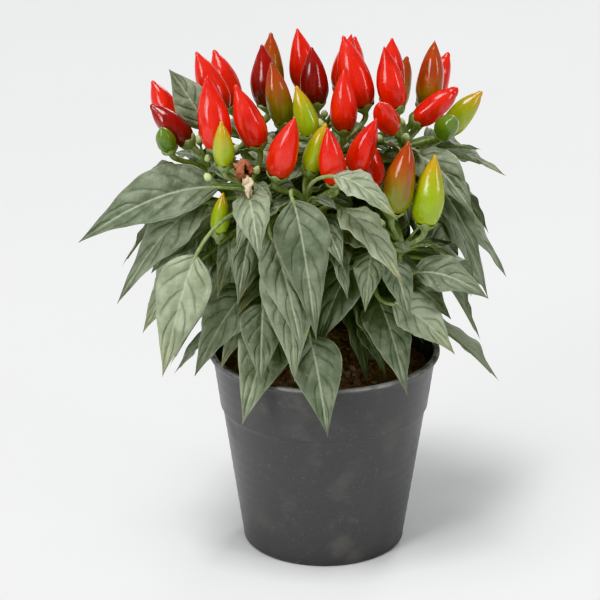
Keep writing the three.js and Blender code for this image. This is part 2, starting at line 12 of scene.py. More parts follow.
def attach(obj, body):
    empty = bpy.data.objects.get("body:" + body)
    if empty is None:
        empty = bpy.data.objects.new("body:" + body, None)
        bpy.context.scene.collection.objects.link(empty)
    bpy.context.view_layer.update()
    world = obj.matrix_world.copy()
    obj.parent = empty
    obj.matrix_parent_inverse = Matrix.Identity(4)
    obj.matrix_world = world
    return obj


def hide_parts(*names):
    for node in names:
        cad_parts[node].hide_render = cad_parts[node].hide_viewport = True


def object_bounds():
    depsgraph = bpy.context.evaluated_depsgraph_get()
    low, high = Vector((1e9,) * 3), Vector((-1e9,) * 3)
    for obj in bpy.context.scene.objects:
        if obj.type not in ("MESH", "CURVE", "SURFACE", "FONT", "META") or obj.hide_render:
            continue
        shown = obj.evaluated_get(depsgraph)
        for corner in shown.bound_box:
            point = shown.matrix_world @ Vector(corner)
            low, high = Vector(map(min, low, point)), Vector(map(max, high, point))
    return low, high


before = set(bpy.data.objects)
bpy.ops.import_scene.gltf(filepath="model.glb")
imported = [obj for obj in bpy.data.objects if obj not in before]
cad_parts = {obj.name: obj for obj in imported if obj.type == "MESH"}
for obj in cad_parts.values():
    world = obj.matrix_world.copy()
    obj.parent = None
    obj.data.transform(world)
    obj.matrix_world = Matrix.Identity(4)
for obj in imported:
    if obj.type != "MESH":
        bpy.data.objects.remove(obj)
cad_box = [list(corner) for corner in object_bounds()]

MM = 0.001

# Pot
POT_HEIGHT = 93
RIM_RADIUS = 52.5
RIM_STEP = 2
COLLAR_TOP = 90.4
COLLAR_FOOT = 67
COLLAR_RADIUS = 47.4
FOOT_RADIUS = 37
WALL = 1.5
LIP = 1.3
BASE = 1.6
DRAIN_RING = 27
DRAIN_HOLES = 8
DRAIN_HOLE_RADIUS = 3.2
POT_SIDES = 160
COLLAR_SLOPE = (RIM_RADIUS - RIM_STEP - COLLAR_RADIUS) / (COLLAR_TOP - COLLAR_FOOT)

# Soil
SOIL_TOP = 84
SOIL_GAP = 0.3
SOIL_MOUND = 2.2
SOIL_SIDES = 150
SOIL_ROWS = 62
SOIL_MIDDLE = 5
SOIL_EDGE = 45.5
CRUMBS = 420
CHIPS = 60
FIBRES = 90
# The first ring of a crumb or chip, in degrees over the level
LUMP_TOP = 90 - math.degrees(0.06)

# Main stem and limbs
STEM_FOOT = 46
STEM_BEND = 96
STEM_FORK = 116
STEM_RADIUS = 3.3
FORK_RADIUS = 2.7
FORK_LEAN = np.array([-2.0, -1.0, 0.0])
LIMB_RADIUS = 2.2
LIMB_ENDS = [(-17, -4, 142), (-3, -9, 146), (13, 2, 142)]
TERMINAL_STUB = 5
SIDE_STUB = 11
SEAT_GAP = 0.3
SHOOT_FOOT_RADIUS = 1.9
SHOOT_TIP_RADIUS = 1.4
CANOPY_CENTRE = np.array([-4.0, 1.0, 0.0])

# Shoots: the limb that carries each and how far along it, its tip, and its chillies, each by its foot,
# its lean to the right and to the back for each unit of rise, its length, its ripeness and, where it
# isn't near the tip, how far along the shoot its stalk starts
SHOOTS = [
    (0, 1, (-50, -15, 181), [
        ((-59, -20, 196), (-1, 0.1), 23, "dark_red"),
        ((-67, -24, 194), (-0.3, -0.4), 12, "unripe"),
        ((-64, 2, 192), (-0.5, 0.2), 27, "red"),
    ]),
    (0, 0.7, (-34, -33, 181), [
        ((-46, -30, 196), (-0.16, 0.05), 32, "red"),
        ((-43, -43, 193), (-0.05, -0.2), 21, "yellow_green"),
        ((-46, -36, 160), (0.1, -0.1), 19, "yellow_green", 0.55),
        ((-29, -28, 197), (-0.3, -0.05), 29, "red"),
    ]),
    (1, 0.85, (-8, -35, 174), [
        ((-21, -39, 187), (0.3, -0.15), 29, "red"),
        ((-7, -35, 188), (0.36, -0.1), 23, "yellow_green"),
        ((-6, -20, 199), (-0.3, 0.05), 23, "yellow_green"),
        ((4, -40, 184), (-0.15, -0.15), 26, "red"),
        ((12, -30, 186), (0.4, 0), 26, "red"),
    ]),
    (1, 1, (4, -2, 185), [
        ((-18, -10, 201), (-0.2, 0), 28, "turning"),
        ((8, -9, 198), (0.03, -0.05), 27, "red"),
        ((17, 9, 203), (-0.3, 0.05), 33, "red"),
        ((-4, 12, 203), (-0.1, 0.15), 26, "dark_red"),
    ]),
    (2, 1, (34, 3, 187), [
        ((31, 4, 204), (-0.2, 0.05), 28, "red"),
        ((29, -10, 199), (-0.4, -1.1), 24, "red"),
        ((40, -3, 201), (1.25, 0), 24, "red"),
        ((51, -4, 195), (0.5, -1), 14, "unripe"),
        ((46, 17, 201), (0.1, 0.1), 30, "turning"),
    ]),
    (2, 0.82, (33, -34, 153), [
        ((21, -22, 176), (-0.15, 0), 26, "red"),
        ((29, -38, 170), (0.2, 0), 33, "turning"),
        ((43, -36, 164), (0.12, 0), 31, "yellow_green"),
    ]),
    (0, 0.6, (-36, 23, 184), [
        ((-25, 13, 202), (-0.1, 0.1), 28, "dark_red"),
        ((-46, 15, 199), (-0.35, 0.1), 29, "red"),
        ((-41, 33, 195), (-0.3, 0.4), 28, "red"),
        ((-24, 31, 200), (0, 0.3), 30, "turning"),
    ]),
    (1, 0.6, (0, 42, 183), [
        ((-8, 34, 203), (-0.1, 0.1), 29, "red"),
        ((8, 29, 204), (0.1, 0), 27, "red"),
        ((11, 50, 196), (0.2, 0.5), 28, "red"),
        ((-7, 54, 193), (-0.15, 0.6), 25, "yellow_green"),
    ]),
    (2, 0.6, (37, 36, 178), [
        ((29, 27, 200), (0.05, 0.1), 29, "red"),
        ((45, 36, 194), (0.45, 0.3), 28, "red"),
        ((33, 51, 189), (0.2, 0.6), 26, "turning"),
        ((54, 22, 187), (0.8, 0.1), 25, "yellow_green"),
    ]),
]

# Chillies
SLIMNESS = {"red": 0.222, "dark_red": 0.24, "turning": 0.2, "yellow_green": 0.22, "unripe": 0.36}
STALK_RADIUS = 1.05
CALYX_RADIUS = 4.3
CALYX_DEPTH = 3.4
CALYX_SIDES = 20
CHILLI_SIDES = 36
FIRST_CHILLI_RING = 0.012
# Where a chilli is tested along its length, and the room that its stalk takes
CHILLI_SAMPLES = np.array([0.06, 0.2, 0.35, 0.5, 0.65, 0.8, 0.95])
STALK_ROOM = 1.2
CHILLI_GAP = 0.8
MOST_BOW = 0.07
# Where stalks leave a shoot, from its tip down
LAST_STALK = 0.99
STALK_STEP = 0.035

# The leaves that show at the front: the number of the stem that carries each, how far along it, where the
# blade begins and ends, its width, how far it arches up out of its chord, and how much it faces the viewer
TRUNK = 0
FIRST_LIMB = 1
FIRST_SHOOT = 10
FRONT_LEAVES = [
    (11, 0.95, (-45, -34, 180), (-106, -43, 158), 25, 8, 0.7),
    (11, 0.88, (-50, -36, 174), (-90, -46, 131), 22, 10, 0.5),
    (11, 0.75, (-55, -47, 154), (-70, -55, 101), 24, 6, 0.85),
    (1, 0.4, (-32, -29, 131), (-57, -43, 96), 22, 7, 0.6),
    (12, 0.15, (-27, -43, 130), (-28, -57, 98), 19, 5, 1),
    (12, 0.85, (-23, -50, 163), (-10, -66, 117), 20, 6, 0.8),
    (12, 0.97, (-14, -46, 178), (-4, -57, 119), 24, 9, 0.8),
    (15, 0.55, (15, -30, 149), (-4, -47, 110), 23, 6, 0.6),
    (15, 0.75, (20, -40, 153), (17, -50, 129), 14, 4, 0.8),
    (15, 0.95, (28, -48, 151), (36, -58, 128), 13, 4, 0.8),
    (15, 0.9, (38, -40, 143), (70, -47, 134), 17, 5, 0.7),
    (15, 0.4, (29, -41, 129), (56, -52, 110), 19, 5, 0.7),
    (0, 0.86, (-7, -50, 118), (1, -65, 77), 23, 6, 1),
    (12, 1, (3, -44, 188), (30, -58, 173), 15, 5, 0.4),
    (12, 0.6, (6, -35, 160), (26, -48, 153), 15, 4, 0.5),
    (16, 0.97, (-51, 6, 192), (-68, 10, 219), 17, 2, 1),
    (10, 0.6, (-54, -20, 158), (-76, -27, 138), 17, 5, 0.6),
    (10, 0.4, (-60, -24, 140), (-80, -32, 112), 15, 5, 0.7),
    (11, 0.9, (-30, -43, 176), (-38, -52, 156), 9, 3, 0.8),
    (12, 0.5, (-29, -30, 154), (-38, -44, 130), 14, 4, 0.8),
    (15, 0.35, (34, -25, 133), (55, -36, 120), 15, 4, 0.6),
]

# The other leaves, tier by tier from the top: where each tier stands along its stem, the headings of its
# leaves, how far their petioles rise, lengths of petiole and blade, the blade's width, and how it falls
Tier = namedtuple("Tier", "along offsets rise petiole blade width fall")
SHOOT_TIERS = [
    Tier(0.98, [0, 115, 240], 22, 10, 26, 12, 0),
    Tier(0.92, [-44, 40, 180], 24, 13, 38, 17, 18),
    Tier(0.74, [-62, 0, 62], 18, 16, 49, 22, 38),
    Tier(0.5, [-34, 30], 14, 19, 56, 25, 52),
    Tier(0.22, [-10, 50], 8, 22, 58, 26, 58),
]
MIDDLE_TIERS = [
    Tier(0.9, [30, 150, 270], 40, 9, 26, 13, -16),
    Tier(0.62, [0, 72, 144, 216, 288], 18, 15, 36, 18, 6),
]
LIMB_TIER = Tier(0.5, [-58, 0, 58], 6, 28, 52, 24, 44)
STEM_TIER = Tier(None, None, 26, 31, 52, 25, 42)
STEM_LEAF_LOW = 97
STEM_LEAF_HIGH = 112
STEM_LEAVES = 11
FIRST_STEM_LEAF = -22
STEM_LEAF_ARC = 260
GOLDEN_SHARE = 0.618
MIDDLE_SHOOT = 13
LEAF_GAP = 2.2
PLACED_GAP = 0.7 * LEAF_GAP
LAST_PETIOLE = 0.985
# How clear leaves stay of the pot's rim, the soil and the floor
BESIDE_RIM = 2.5
OVER_RIM = 2
WITHIN_RIM = 7
OVER_SOIL = 4
LOWEST_LEAF = 20
# How a leaf that finds no room is made smaller, lifted and turned, try by try
LEAF_SIZES = [1, 0.84, 0.7]
LEAF_LIFTS = [0, 10, -10, 20, -20]
LEAF_SWINGS = [0, 9, -9, 18, -18, 27, -27]
# The small leaves that fill the inside of the plant
YOUNG_TIERS = [
    Tier(0.97, [60, 175, 300], 40, 7, 17, 8, 6),
    Tier(0.85, [-90, 90, 150, 210], 30, 9, 25, 11, 14),
    Tier(0.66, [-110, 20, 110, 180], 18, 12, 31, 13, 30),
    Tier(0.42, [-80, 0, 80, 160, 200], 10, 13, 35, 16, 42),
    Tier(0.18, [-60, 60, 130, 230], 6, 14, 36, 16, 48),
]
YOUNG_LIMB_TIERS = [
    Tier(0.85, [-120, -60, 0, 60, 120, 180], 10, 16, 38, 17, 38),
    Tier(0.5, [-90, -30, 30, 90, 180], 4, 20, 42, 19, 46),
]
YOUNG_STEM_TIER = Tier(0.86, [0, 72, 144, 216, 288], 10, 24, 40, 19, 44)
YOUNG_GAP = 0.6
INNER_LEAVES = [
    (14, 0.25, (30, -6, 158), (23, -14, 128), 16, 4, 0.7),
    (14, 0.2, (40, 0, 155), (44, -8, 122), 18, 4, 0.7),
    (18, 0.3, (52, 8, 153), (58, -2, 122), 18, 4, 0.7),
    (18, 0.2, (38, 24, 150), (32, 12, 118), 18, 4, 0.7),
    (10, 0.35, (-50, -6, 150), (-58, -12, 120), 17, 4, 0.7),
    (13, 0.7, (-8, 0, 172), (-27, -8, 160), 12, 3, 0.6),
    (13, 0.6, (10, 4, 172), (26, -4, 162), 12, 3, 0.6),
    (16, 0.5, (-24, 14, 168), (-20, 2, 148), 14, 3, 0.7),
    (17, 0.4, (2, 24, 160), (6, 10, 138), 16, 3, 0.7),
    (18, 0.15, (44, 16, 147), (42, 4, 119), 16, 4, 0.7),
    (14, 0.3, (35, 8, 154), (40, -4, 128), 14, 3, 0.7),
    (14, 0.4, (24, 8, 162), (30, -2, 142), 13, 3, 0.7),
    (15, 0.6, (33, -30, 148), (34, -38, 128), 12, 3, 0.7),
]

# Flower buds, and one spent flower that hangs by the second shoot
BUD_RADIUS = 1.6
BUD_LENGTH = 4.8
BUD_SIDES = 15
BUD_GAP = 0.6
BUDS_TRIED = 3
SEEN_BUD = (11, (-49, -46, 187), (-0.5, -0.5, 1))
SPENT_FLOWER = (11, (-34, -46, 187), (-0.1, -0.35, 1))

# Blades: half thickness, veins and swellings, and the rows and columns that are tested and made
PETIOLE_RADIUS = 0.95
BLADE_HALF_THICKNESS = 0.17
BLADE_NARROWEST = 0.1
MIDRIB_GROOVE = 0.28
SWELLING = 0.95
VEIN_PAIRS = 5
VEIN_SLANT = 0.32
VEIN_BEND = 1.25
VEIN_OFFSET = 0.45
SAMPLE_COLUMNS = np.array([-0.96, -0.64, -0.32, 0, 0.32, 0.64, 0.96])
SAMPLE_ROWS = np.arange(13) / 12
BLADE_HALF = np.array([0.07, 0.2, 0.36, 0.53, 0.7, 0.86, 1.0])
BLADE_COLUMNS = np.concatenate([-BLADE_HALF[::-1], [0], BLADE_HALF])
BLADE_ROW_STEP = 1.5
FEWEST_BLADE_ROWS = 18
MOST_BLADE_ROWS = 40
# What a leaf's mesh holds for its material
LEAF_VALUES = ("across", "along", "under", "rib", "tone", "inner")
# The inside of the plant, by radius and height, where leaves get painted shade that is partly a real deeper
# green
INNER_EDGE = 52
INNER_EDGE_FADE = 26
INNER_TOP = 182
INNER_TOP_FADE = 20

# Floor, light and camera, in metres and degrees
FLOOR_RADIUS = 2.8
FLOOR_CURVE = 0.8
FLOOR_WALL = 1.5
FLOOR_SIDES = 128
LIT_SPOT = (0, 0, 0.12)
VIEW_ELEVATION = 21
VIEW_DISTANCE = 1.15
FRAMED = 0.27

DRAW_FACTOR = 48271
DRAW_MODULUS = 2147483647


def seeded_draws(seed):
    """A repeatable row of draws between 0 and 1."""
    state = seed

    def draw():
        nonlocal state
        state = state * DRAW_FACTOR % DRAW_MODULUS
        return state / DRAW_MODULUS

    return draw


draw = seeded_draws(20611)


def spread(amount):
    return (draw() * 2 - 1) * amount


def heading(angle, rise=0):
    """The direction at an angle round the upright axis and a rise over the level, in degrees."""
    angle, rise = math.radians(angle), math.radians(rise)
    return np.array([math.cos(rise) * math.cos(angle), math.cos(rise) * math.sin(angle), math.sin(rise)])


def angle_of(way):
    return math.degrees(math.atan2(way[1], way[0]))


def unit(vectors):
    return vectors / np.linalg.norm(vectors, axis=-1, keepdims=True)


def point(*coordinates):
    return np.array(coordinates, float)


def distance(a, b):
    return float(np.linalg.norm(a - b))


UP = point(0, 0, 1)
LEVEL = point(1, 1, 0)
LINE_OF_SIGHT = heading(90, -VIEW_ELEVATION)
NUDGES = [0, 2, -2, 4, -4, 6, -6, 8, -8, 11, -11, 14, -14]


def cross_axes(axis):
    """Two directions square to an axis."""
    first = point(-axis[1], axis[0], 0)
    first = unit(first if np.linalg.norm(first) >= 0.05 else point(1, 0, 0))
    return [first, unit(np.cross(axis, first))]


def along_curve(controls, t):
    """Points of a Bezier curve at each t."""
    t = np.asarray(t, float)[..., None]
    last = len(controls) - 1
    return sum(math.comb(last, n) * (1 - t) ** (last - n) * t**n * spot for n, spot in enumerate(controls))


def tangents(controls, t):
    before, after = (along_curve(controls, np.clip(np.add(t, step), 0, 1)) for step in (-1e-4, 1e-4))
    return unit(after - before)


class Crowd:
    """What already stands in the plant, as balls, each with the number of the stem that it belongs to."""

    def __init__(self):
        self.points = np.empty((0, 3))
        self.radii = np.empty(0)
        self.owners = np.empty(0, int)

    def add(self, points, radii, owner=-1):
        count = len(points)
        self.points = np.concatenate([self.points, points])
        self.radii = np.concatenate([self.radii, np.broadcast_to(radii, count)])
        self.owners = np.concatenate([self.owners, np.full(count, owner)])

    def clear_of(self, points, radii, gap, holder):
        """Whether balls stand clear of all the others. A few of them are tried first, to save time."""
        reach = radii.max() + self.radii.max() + gap
        near = np.flatnonzero(self.owners != holder.number)
        for axis in range(3):
            spots = self.points[near, axis]
            near = near[(spots > points[:, axis].min() - reach) & (spots < points[:, axis].max() + reach)]
        others = self.points[near]
        for some in (slice(0, None, 7), slice(None)):
            tried = points[some]
            apart = (tried**2).sum(1)[:, None] + (others**2).sum(1) - 2 * tried @ others.T
            if not (apart > (radii[some, None] + self.radii[near] + gap) ** 2).all():
                return False
        return True


def new_stem(number, controls, foot_radius, tip_radius, **facts):
    return SimpleNamespace(
        number=number, controls=controls, foot_radius=foot_radius, tip_radius=tip_radius, leaves=[], **facts
    )


def stem_radius(stem, t):
    return stem.foot_radius + (stem.tip_radius - stem.foot_radius) * t


def grow_trunk():
    foot = UP * STEM_FOOT
    fork = UP * STEM_FORK + FORK_LEAN
    controls = [foot, UP * STEM_BEND, fork - UP * 14, fork]
    return new_stem(TRUNK, controls, STEM_RADIUS, FORK_RADIUS, angle=0)


def grow_limbs(fork):
    limbs = []
    for n, end in enumerate(LIMB_ENDS):
        end = point(*end)
        outward = unit((end - fork) * LEVEL)
        controls = [fork - UP * 2, fork + outward * 4 + UP * 4, end - UP * 9, end]
        limbs.append(new_stem(FIRST_LIMB + n, controls, FORK_RADIUS, LIMB_RADIUS, angle=angle_of(outward)))
    return limbs


def grow_shoots(limbs):
    shoots = []
    for n, (limb, along, tip, _) in enumerate(SHOOTS):
        tip = point(*tip)
        node = along_curve(limbs[limb].controls, along)
        ends = along == 1
        stub_length = TERMINAL_STUB if ends else SIDE_STUB
        start = unit(unit(tip - node) + UP * (0.35 if ends else -0.1))
        foot = node + start * stub_length
        outward = (tip - CANOPY_CENTRE) * LEVEL
        angle = angle_of(outward)
        arrival = heading(angle, 90 - min(float(np.linalg.norm(outward)), 40) / 2)
        reach = distance(foot, tip) / 3
        controls = [foot, foot + start * reach, tip - arrival * reach, tip]
        shoots.append(new_stem(
            FIRST_SHOOT + n, controls, SHOOT_FOOT_RADIUS, SHOOT_TIP_RADIUS,
            angle=angle, axis=arrival, node=node, start=start, stub_length=stub_length, chillies=[], buds=[],
        ))
    return shoots


def chilli_outline(t, blunter=0):
    """A chilli's radius along its length: a narrow shoulder, fullest at a third, then a long point."""
    shoulder = 0.3
    fullness = 1.65 + blunter
    low = 1 - 0.42 * (np.maximum(shoulder - t, 0) / shoulder) ** 2.2
    high = 1 - (np.maximum(t - shoulder, 0) / (1 - shoulder)) ** fullness
    return np.where(t < shoulder, low, high)


def chilli_spine(chilli, t):
    t = t[:, None]
    bowed = chilli.bow_side * (chilli.bow * chilli.length * t * t)
    return chilli.foot + chilli.axis * chilli.length * t + bowed


def grow_chilli(crowd, shoot, plan, n):
    """Moves a chilli along the line of sight, try by try, until it stands clear of the others."""
    foot, lean, length, ripeness, *leaves_at = plan
    axis = unit(point(*lean, 1))
    bow, bow_side = spread(MOST_BOW), cross_axes(axis)[n % 2]
    root = along_curve(shoot.controls, leaves_at[0] if leaves_at else LAST_STALK - STALK_STEP * n)
    t = CHILLI_SAMPLES
    for nudge in NUDGES:
        stand = point(*foot) + LINE_OF_SIGHT * nudge
        calyx = stand - axis * CALYX_DEPTH
        bend = root + shoot.axis * distance(root, calyx) * 0.3
        chilli = SimpleNamespace(
            foot=stand, axis=axis, bow=bow, bow_side=bow_side, length=length, ripeness=ripeness,
            radius=length * SLIMNESS[ripeness], stalk=[root, bend, calyx - axis * 5, calyx],
        )
        points, radii = chilli_spine(chilli, t), np.maximum(chilli.radius * chilli_outline(t), 1)
        stalk = along_curve(chilli.stalk, [0.3, 0.5, 0.7, 0.9])
        tested = np.concatenate([points, stalk[1:]])
        if crowd.clear_of(tested, np.concatenate([radii, [STALK_ROOM] * 3]), CHILLI_GAP, shoot):
            crowd.add(points, radii)
            crowd.add(stalk, STALK_ROOM)
            crowd.add(stand[None], CALYX_RADIUS)
            shoot.chillies.append(chilli)
            return


def blade_outline(t):
    """Half the blade's width along its length: broadest at a third, drawn out to a point."""
    bow = np.sin(np.pi * np.minimum(t, 1) ** 0.8)
    return np.maximum(bow, 0) ** 1.1 * (1 - 0.3 * t) / 0.88


def new_leaf(look, root, base, tip, arch, turn=0):
    """A leaf's midline: the petiole leaves the stem and bends into the blade, which arches and falls."""
    chord = tip - base
    crest = base + chord * 0.42 + UP * arch * 1.6
    bend = base - unit(crest - base) * 0.5 * distance(root, base)
    across = chord if math.hypot(chord[0], chord[1]) >= 12 else base - root
    return SimpleNamespace(
        **look, base=base, tip=tip, petiole=[root, bend, base], blade=[base, crest, tip], turn=turn,
        flat=unit(point(-across[1], across[0], 0)),
    )


def frames_on(leaf, controls, t, turned):
    """The midline's points with the directions across the blade and out of its upper face."""
    t = np.asarray(t, float)
    along = tangents(controls, t)
    flat = unit(leaf.flat - along * (along @ leaf.flat)[..., None])
    square = np.cross(along, flat)
    turn = np.radians(leaf.turn * np.broadcast_to(turned, t.shape))[..., None]
    side = flat * np.cos(turn) + square * np.sin(turn)
    normal = square * np.cos(turn) - flat * np.sin(turn)
    return along_curve(controls, t), side, normal


def blade_half(leaf, t, narrowest):
    return np.maximum(leaf.width / 2 * blade_outline(t), narrowest)[:, None]


def blade_points(leaf, t, x, narrowest=0.5):
    """Points of the blade's middle surface for each t, and for each share x of its half width."""
    middle, side, normal = frames_on(leaf, leaf.blade, t, 1)
    half = blade_half(leaf, t, narrowest)
    wave = leaf.wave * np.sin(2 * np.pi * (leaf.waves * t[:, None] + leaf.phase)) * x * np.abs(x)
    lift = leaf.fold * half * np.abs(x) + wave * np.minimum(1, half / 6)
    return middle[:, None] + side[:, None] * (half * x)[..., None] + normal[:, None] * lift[..., None]


def over_pot(points):
    """Whether all points stand clear of the pot's rim and the soil."""
    out = np.hypot(points[:, 0], points[:, 1])
    z = points[:, 2]
    outside = out > RIM_RADIUS + BESIDE_RIM
    clears_rim = (z > POT_HEIGHT + OVER_RIM) | outside | (out < RIM_RADIUS - WITHIN_RIM)
    return bool((clears_rim & ((z > SOIL_TOP + OVER_SOIL) | outside) & (z > LOWEST_LEAF)).all())


def keep_leaf(crowd, leaf, holder, gap):
    petiole = along_curve(leaf.petiole, [0.25, 0.4, 0.55, 0.7, 0.85])
    blade = blade_points(leaf, SAMPLE_ROWS, SAMPLE_COLUMNS).reshape(-1, 3)
    points = np.concatenate([petiole, blade])
    radii = np.concatenate([[-0.2] * 5, np.zeros(len(blade))])
    if not over_pot(points) or not crowd.clear_of(points, radii, gap, holder):
        return False
    crowd.add(points, LEAF_GAP / 2)
    holder.leaves.append(leaf)
    return True


def leaf_look(width):
    return {
        "width": width, "fold": 0.1 + spread(0.18), "wave": 0.7 + draw() * 0.9, "waves": 1.6 + draw(),
        "phase": draw(),
    }


def grow_placed_leaf(crowd, plan, holder, gap=PLACED_GAP):
    """A leaf with a place of its own is moved along the line of sight until it is clear."""
    _, along, base, tip, width, arch, face = plan
    root = along_curve(holder.controls, min(along, LAST_PETIOLE))
    look = leaf_look(width)
    for nudge in NUDGES:
        shift = LINE_OF_SIGHT * nudge
        leaf = new_leaf(look, root, point(*base) + shift, point(*tip) + shift, arch)
        _, side, normal = frames_on(leaf, leaf.blade, [0.5], 1)
        # The turn that brings the blade's upper face round to the viewer
        leaf.turn = face * angle_of((-float(normal[0] @ LINE_OF_SIGHT), float(side[0] @ LINE_OF_SIGHT)))
        if keep_leaf(crowd, leaf, holder, gap):
            return


def grow_leaf(crowd, plan, holder, along, angle, gap=LEAF_GAP):
    """Any other leaf is turned, lifted and at last made smaller until it is clear."""
    root = along_curve(holder.controls, min(along, LAST_PETIOLE))
    grown = 1 + spread(0.13)
    look = leaf_look(plan.width * grown * (1 + spread(0.1)))
    width = look["width"]
    way = angle + spread(8)
    rise = plan.rise + spread(10)
    fall = plan.fall + spread(14)
    reach = plan.petiole * (1 + spread(0.2))
    sweep = spread(16)
    turn = spread(32)
    for size, lift, swing in product(LEAF_SIZES, LEAF_LIFTS, LEAF_SWINGS):
        look["width"] = width * size
        base = root + heading(way + swing, rise + lift) * reach
        blade = plan.blade * grown * size
        tip = base + heading(way + swing + sweep, lift * 0.7 - fall) * blade
        leaf = new_leaf(look, root, base, tip, blade * (0.1 + 0.0012 * fall), turn)
        if keep_leaf(crowd, leaf, holder, gap):
            return


def grow_tiers(crowd, plans, holders, gap=LEAF_GAP):
    for plan in plans:
        for holder in holders:
            for offset in plan.offsets:
                grow_leaf(crowd, plan, holder, plan.along + spread(0.05), holder.angle + offset, gap)


def grow_plant():
    trunk = grow_trunk()
    limbs = grow_limbs(trunk.controls[3])
    shoots = grow_shoots(limbs)
    stems = {stem.number: stem for stem in [trunk, *limbs, *shoots]}
    crowd = Crowd()
    steps = np.arange(21) / 20
    for stem in stems.values():
        crowd.add(along_curve(stem.controls, steps), stem_radius(stem, steps) - 0.6, stem.number)
    for shoot in shoots:
        crowd.add(shoot.node + np.outer([0.25, 0.5, 0.75, 1], shoot.start * shoot.stub_length), 1.4)
    for shoot, plan in zip(shoots, SHOOTS):
        for n, chilli in enumerate(plan[3]):
            grow_chilli(crowd, shoot, chilli, n)
    for plan in FRONT_LEAVES:
        grow_placed_leaf(crowd, plan, stems[plan[0]])
    grow_tiers(crowd, SHOOT_TIERS, [shoot for shoot in shoots if shoot.number != MIDDLE_SHOOT])
    grow_tiers(crowd, MIDDLE_TIERS, [stems[MIDDLE_SHOOT]])
    grow_tiers(crowd, [LIMB_TIER], limbs)
    for n in range(STEM_LEAVES):
        height = STEM_LEAF_LOW + (STEM_LEAF_HIGH - STEM_LEAF_LOW) * ((n * GOLDEN_SHARE) % 1)
        along = (height - STEM_FOOT) / (STEM_FORK - STEM_FOOT)
        angle = FIRST_STEM_LEAF + STEM_LEAF_ARC / (STEM_LEAVES - 1) * n
        grow_leaf(crowd, STEM_TIER, trunk, along, angle + spread(6))
    spent = grow_flowers(crowd, shoots, stems)
    for plan in INNER_LEAVES:
        grow_placed_leaf(crowd, plan, stems[plan[0]], YOUNG_GAP)
    grow_tiers(crowd, YOUNG_TIERS, shoots, YOUNG_GAP)
    grow_tiers(crowd, YOUNG_LIMB_TIERS, limbs, YOUNG_GAP)
    grow_tiers(crowd, [YOUNG_STEM_TIER], [trunk], YOUNG_GAP)
    return SimpleNamespace(trunk=trunk, limbs=limbs, shoots=shoots, spent=spent)


def place_bud(crowd, shoot, foot, way):
    axis = unit(way)
    points = foot + np.outer([0.5, 2.5, 4.5], axis)
    if crowd.clear_of(points, np.full(3, BUD_RADIUS), BUD_GAP, shoot):
        crowd.add(points, BUD_RADIUS)
        shoot.buds.append(SimpleNamespace(foot=foot, axis=axis, holder=shoot))


def grow_flowers(crowd, shoots, stems):
    """Small flower buds round the tips of the shoots where there is room, and one spent flower."""
    number, foot, lean = SPENT_FLOWER
    spent = SimpleNamespace(foot=point(*foot), axis=unit(point(*lean)), holder=stems[number])
    crowd.add(spent.foot + np.outer([0, 4, 8], spent.axis), 4.5)
    number, foot, lean = SEEN_BUD
    place_bud(crowd, stems[number], point(*foot), point(*lean))
    for shoot in shoots:
        for n in range(BUDS_TRIED):
            way = heading(shoot.angle + 75 + 105 * n + spread(25), 40 + spread(25))
            place_bud(crowd, shoot, shoot.controls[3] + way * (8 + 5 * draw()), way + UP * 0.5)
    return spent


def ring_quads(rows, sides):
    """Faces between rings of equal numbers of points."""
    row = np.arange(rows - 1)[:, None] * sides
    here = np.arange(sides)
    after = (here + 1) % sides
    return np.stack([row + here, row + after, row + sides + after, row + sides + here], -1).reshape(-1, 4)


def add_object(name, data):
    made = bpy.data.objects.new(name, data)
    bpy.context.scene.collection.objects.link(made)
    return made


class Skin:
    """Closed skins gathered into one mesh, with the values that its material reads at each point."""

    def __init__(self, *values):
        self.points = []
        self.faces = []
        self.values = {name: [] for name in values}
        self.count = 0

    def add_loft(self, rings, **values):
        """A skin over rings of equal numbers of points, closed by a face at either end."""
        rows, sides = rings.shape[:2]
        points = rings.reshape(-1, 3)
        quads = ring_quads(rows, sides)
        ends = [list(range(sides))[::-1], list(range((rows - 1) * sides, rows * sides))]
        level = points - points.mean(0)
        a, b, c, d = (level[quads[:, n]] for n in range(4))
        if np.einsum("ij,ij->", a, np.cross(b, c) + np.cross(c, d)) < 0:
            quads = quads[:, ::-1]
            ends = [face[::-1] for face in ends]
        self.points.append(points)
        self.faces += (quads + self.count).tolist()
        self.faces += [[n + self.count for n in face] for face in ends]
        self.count += len(points)
        for name, kept in self.values.items():
            value = np.asarray(values.get(name, 0), float)
            if value.ndim == 1:
                value = value[:, None]
            kept.append(np.broadcast_to(value, (rows, sides)).reshape(-1))

    def make(self, name, material, slot, *nodes):
        mesh = bpy.data.meshes.new(name)
        mesh.from_pydata((np.concatenate(self.points) * MM).tolist(), [], self.faces)
        for label, kept in self.values.items():
            mesh.attributes.new(label, "FLOAT", "POINT").data.foreach_set("value", np.concatenate(kept))
        mesh.shade_smooth()
        mesh.materials.append(material)
        piece = add_object(name, mesh)
        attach(piece, "root")
        if nodes:
            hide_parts(*nodes)
        return piece


def angles(sides):
    return 2 * np.pi * np.arange(sides) / sides


def round_rings(middles, axes, radii, sides):
    """Rings round a path. Radii are one for each ring, or one for each point of each ring."""
    first = cross_axes(axes[0])[0]
    turn = angles(sides)
    rings = []
    for middle, axis, radius in zip(middles, axes, radii):
        first = unit(first - axis * (first @ axis))
        ring = np.outer(np.cos(turn), first) + np.outer(np.sin(turn), np.cross(axis, first))
        rings.append(middle + ring * np.broadcast_to(radius, sides)[:, None])
    return np.array(rings)


def turned_rings(profile, sides):
    """Rings round the upright axis, from a profile of radii and heights."""
    turn = angles(sides)
    return [np.stack([r * np.cos(turn), r * np.sin(turn), np.full(sides, float(z))], 1) for r, z in profile]


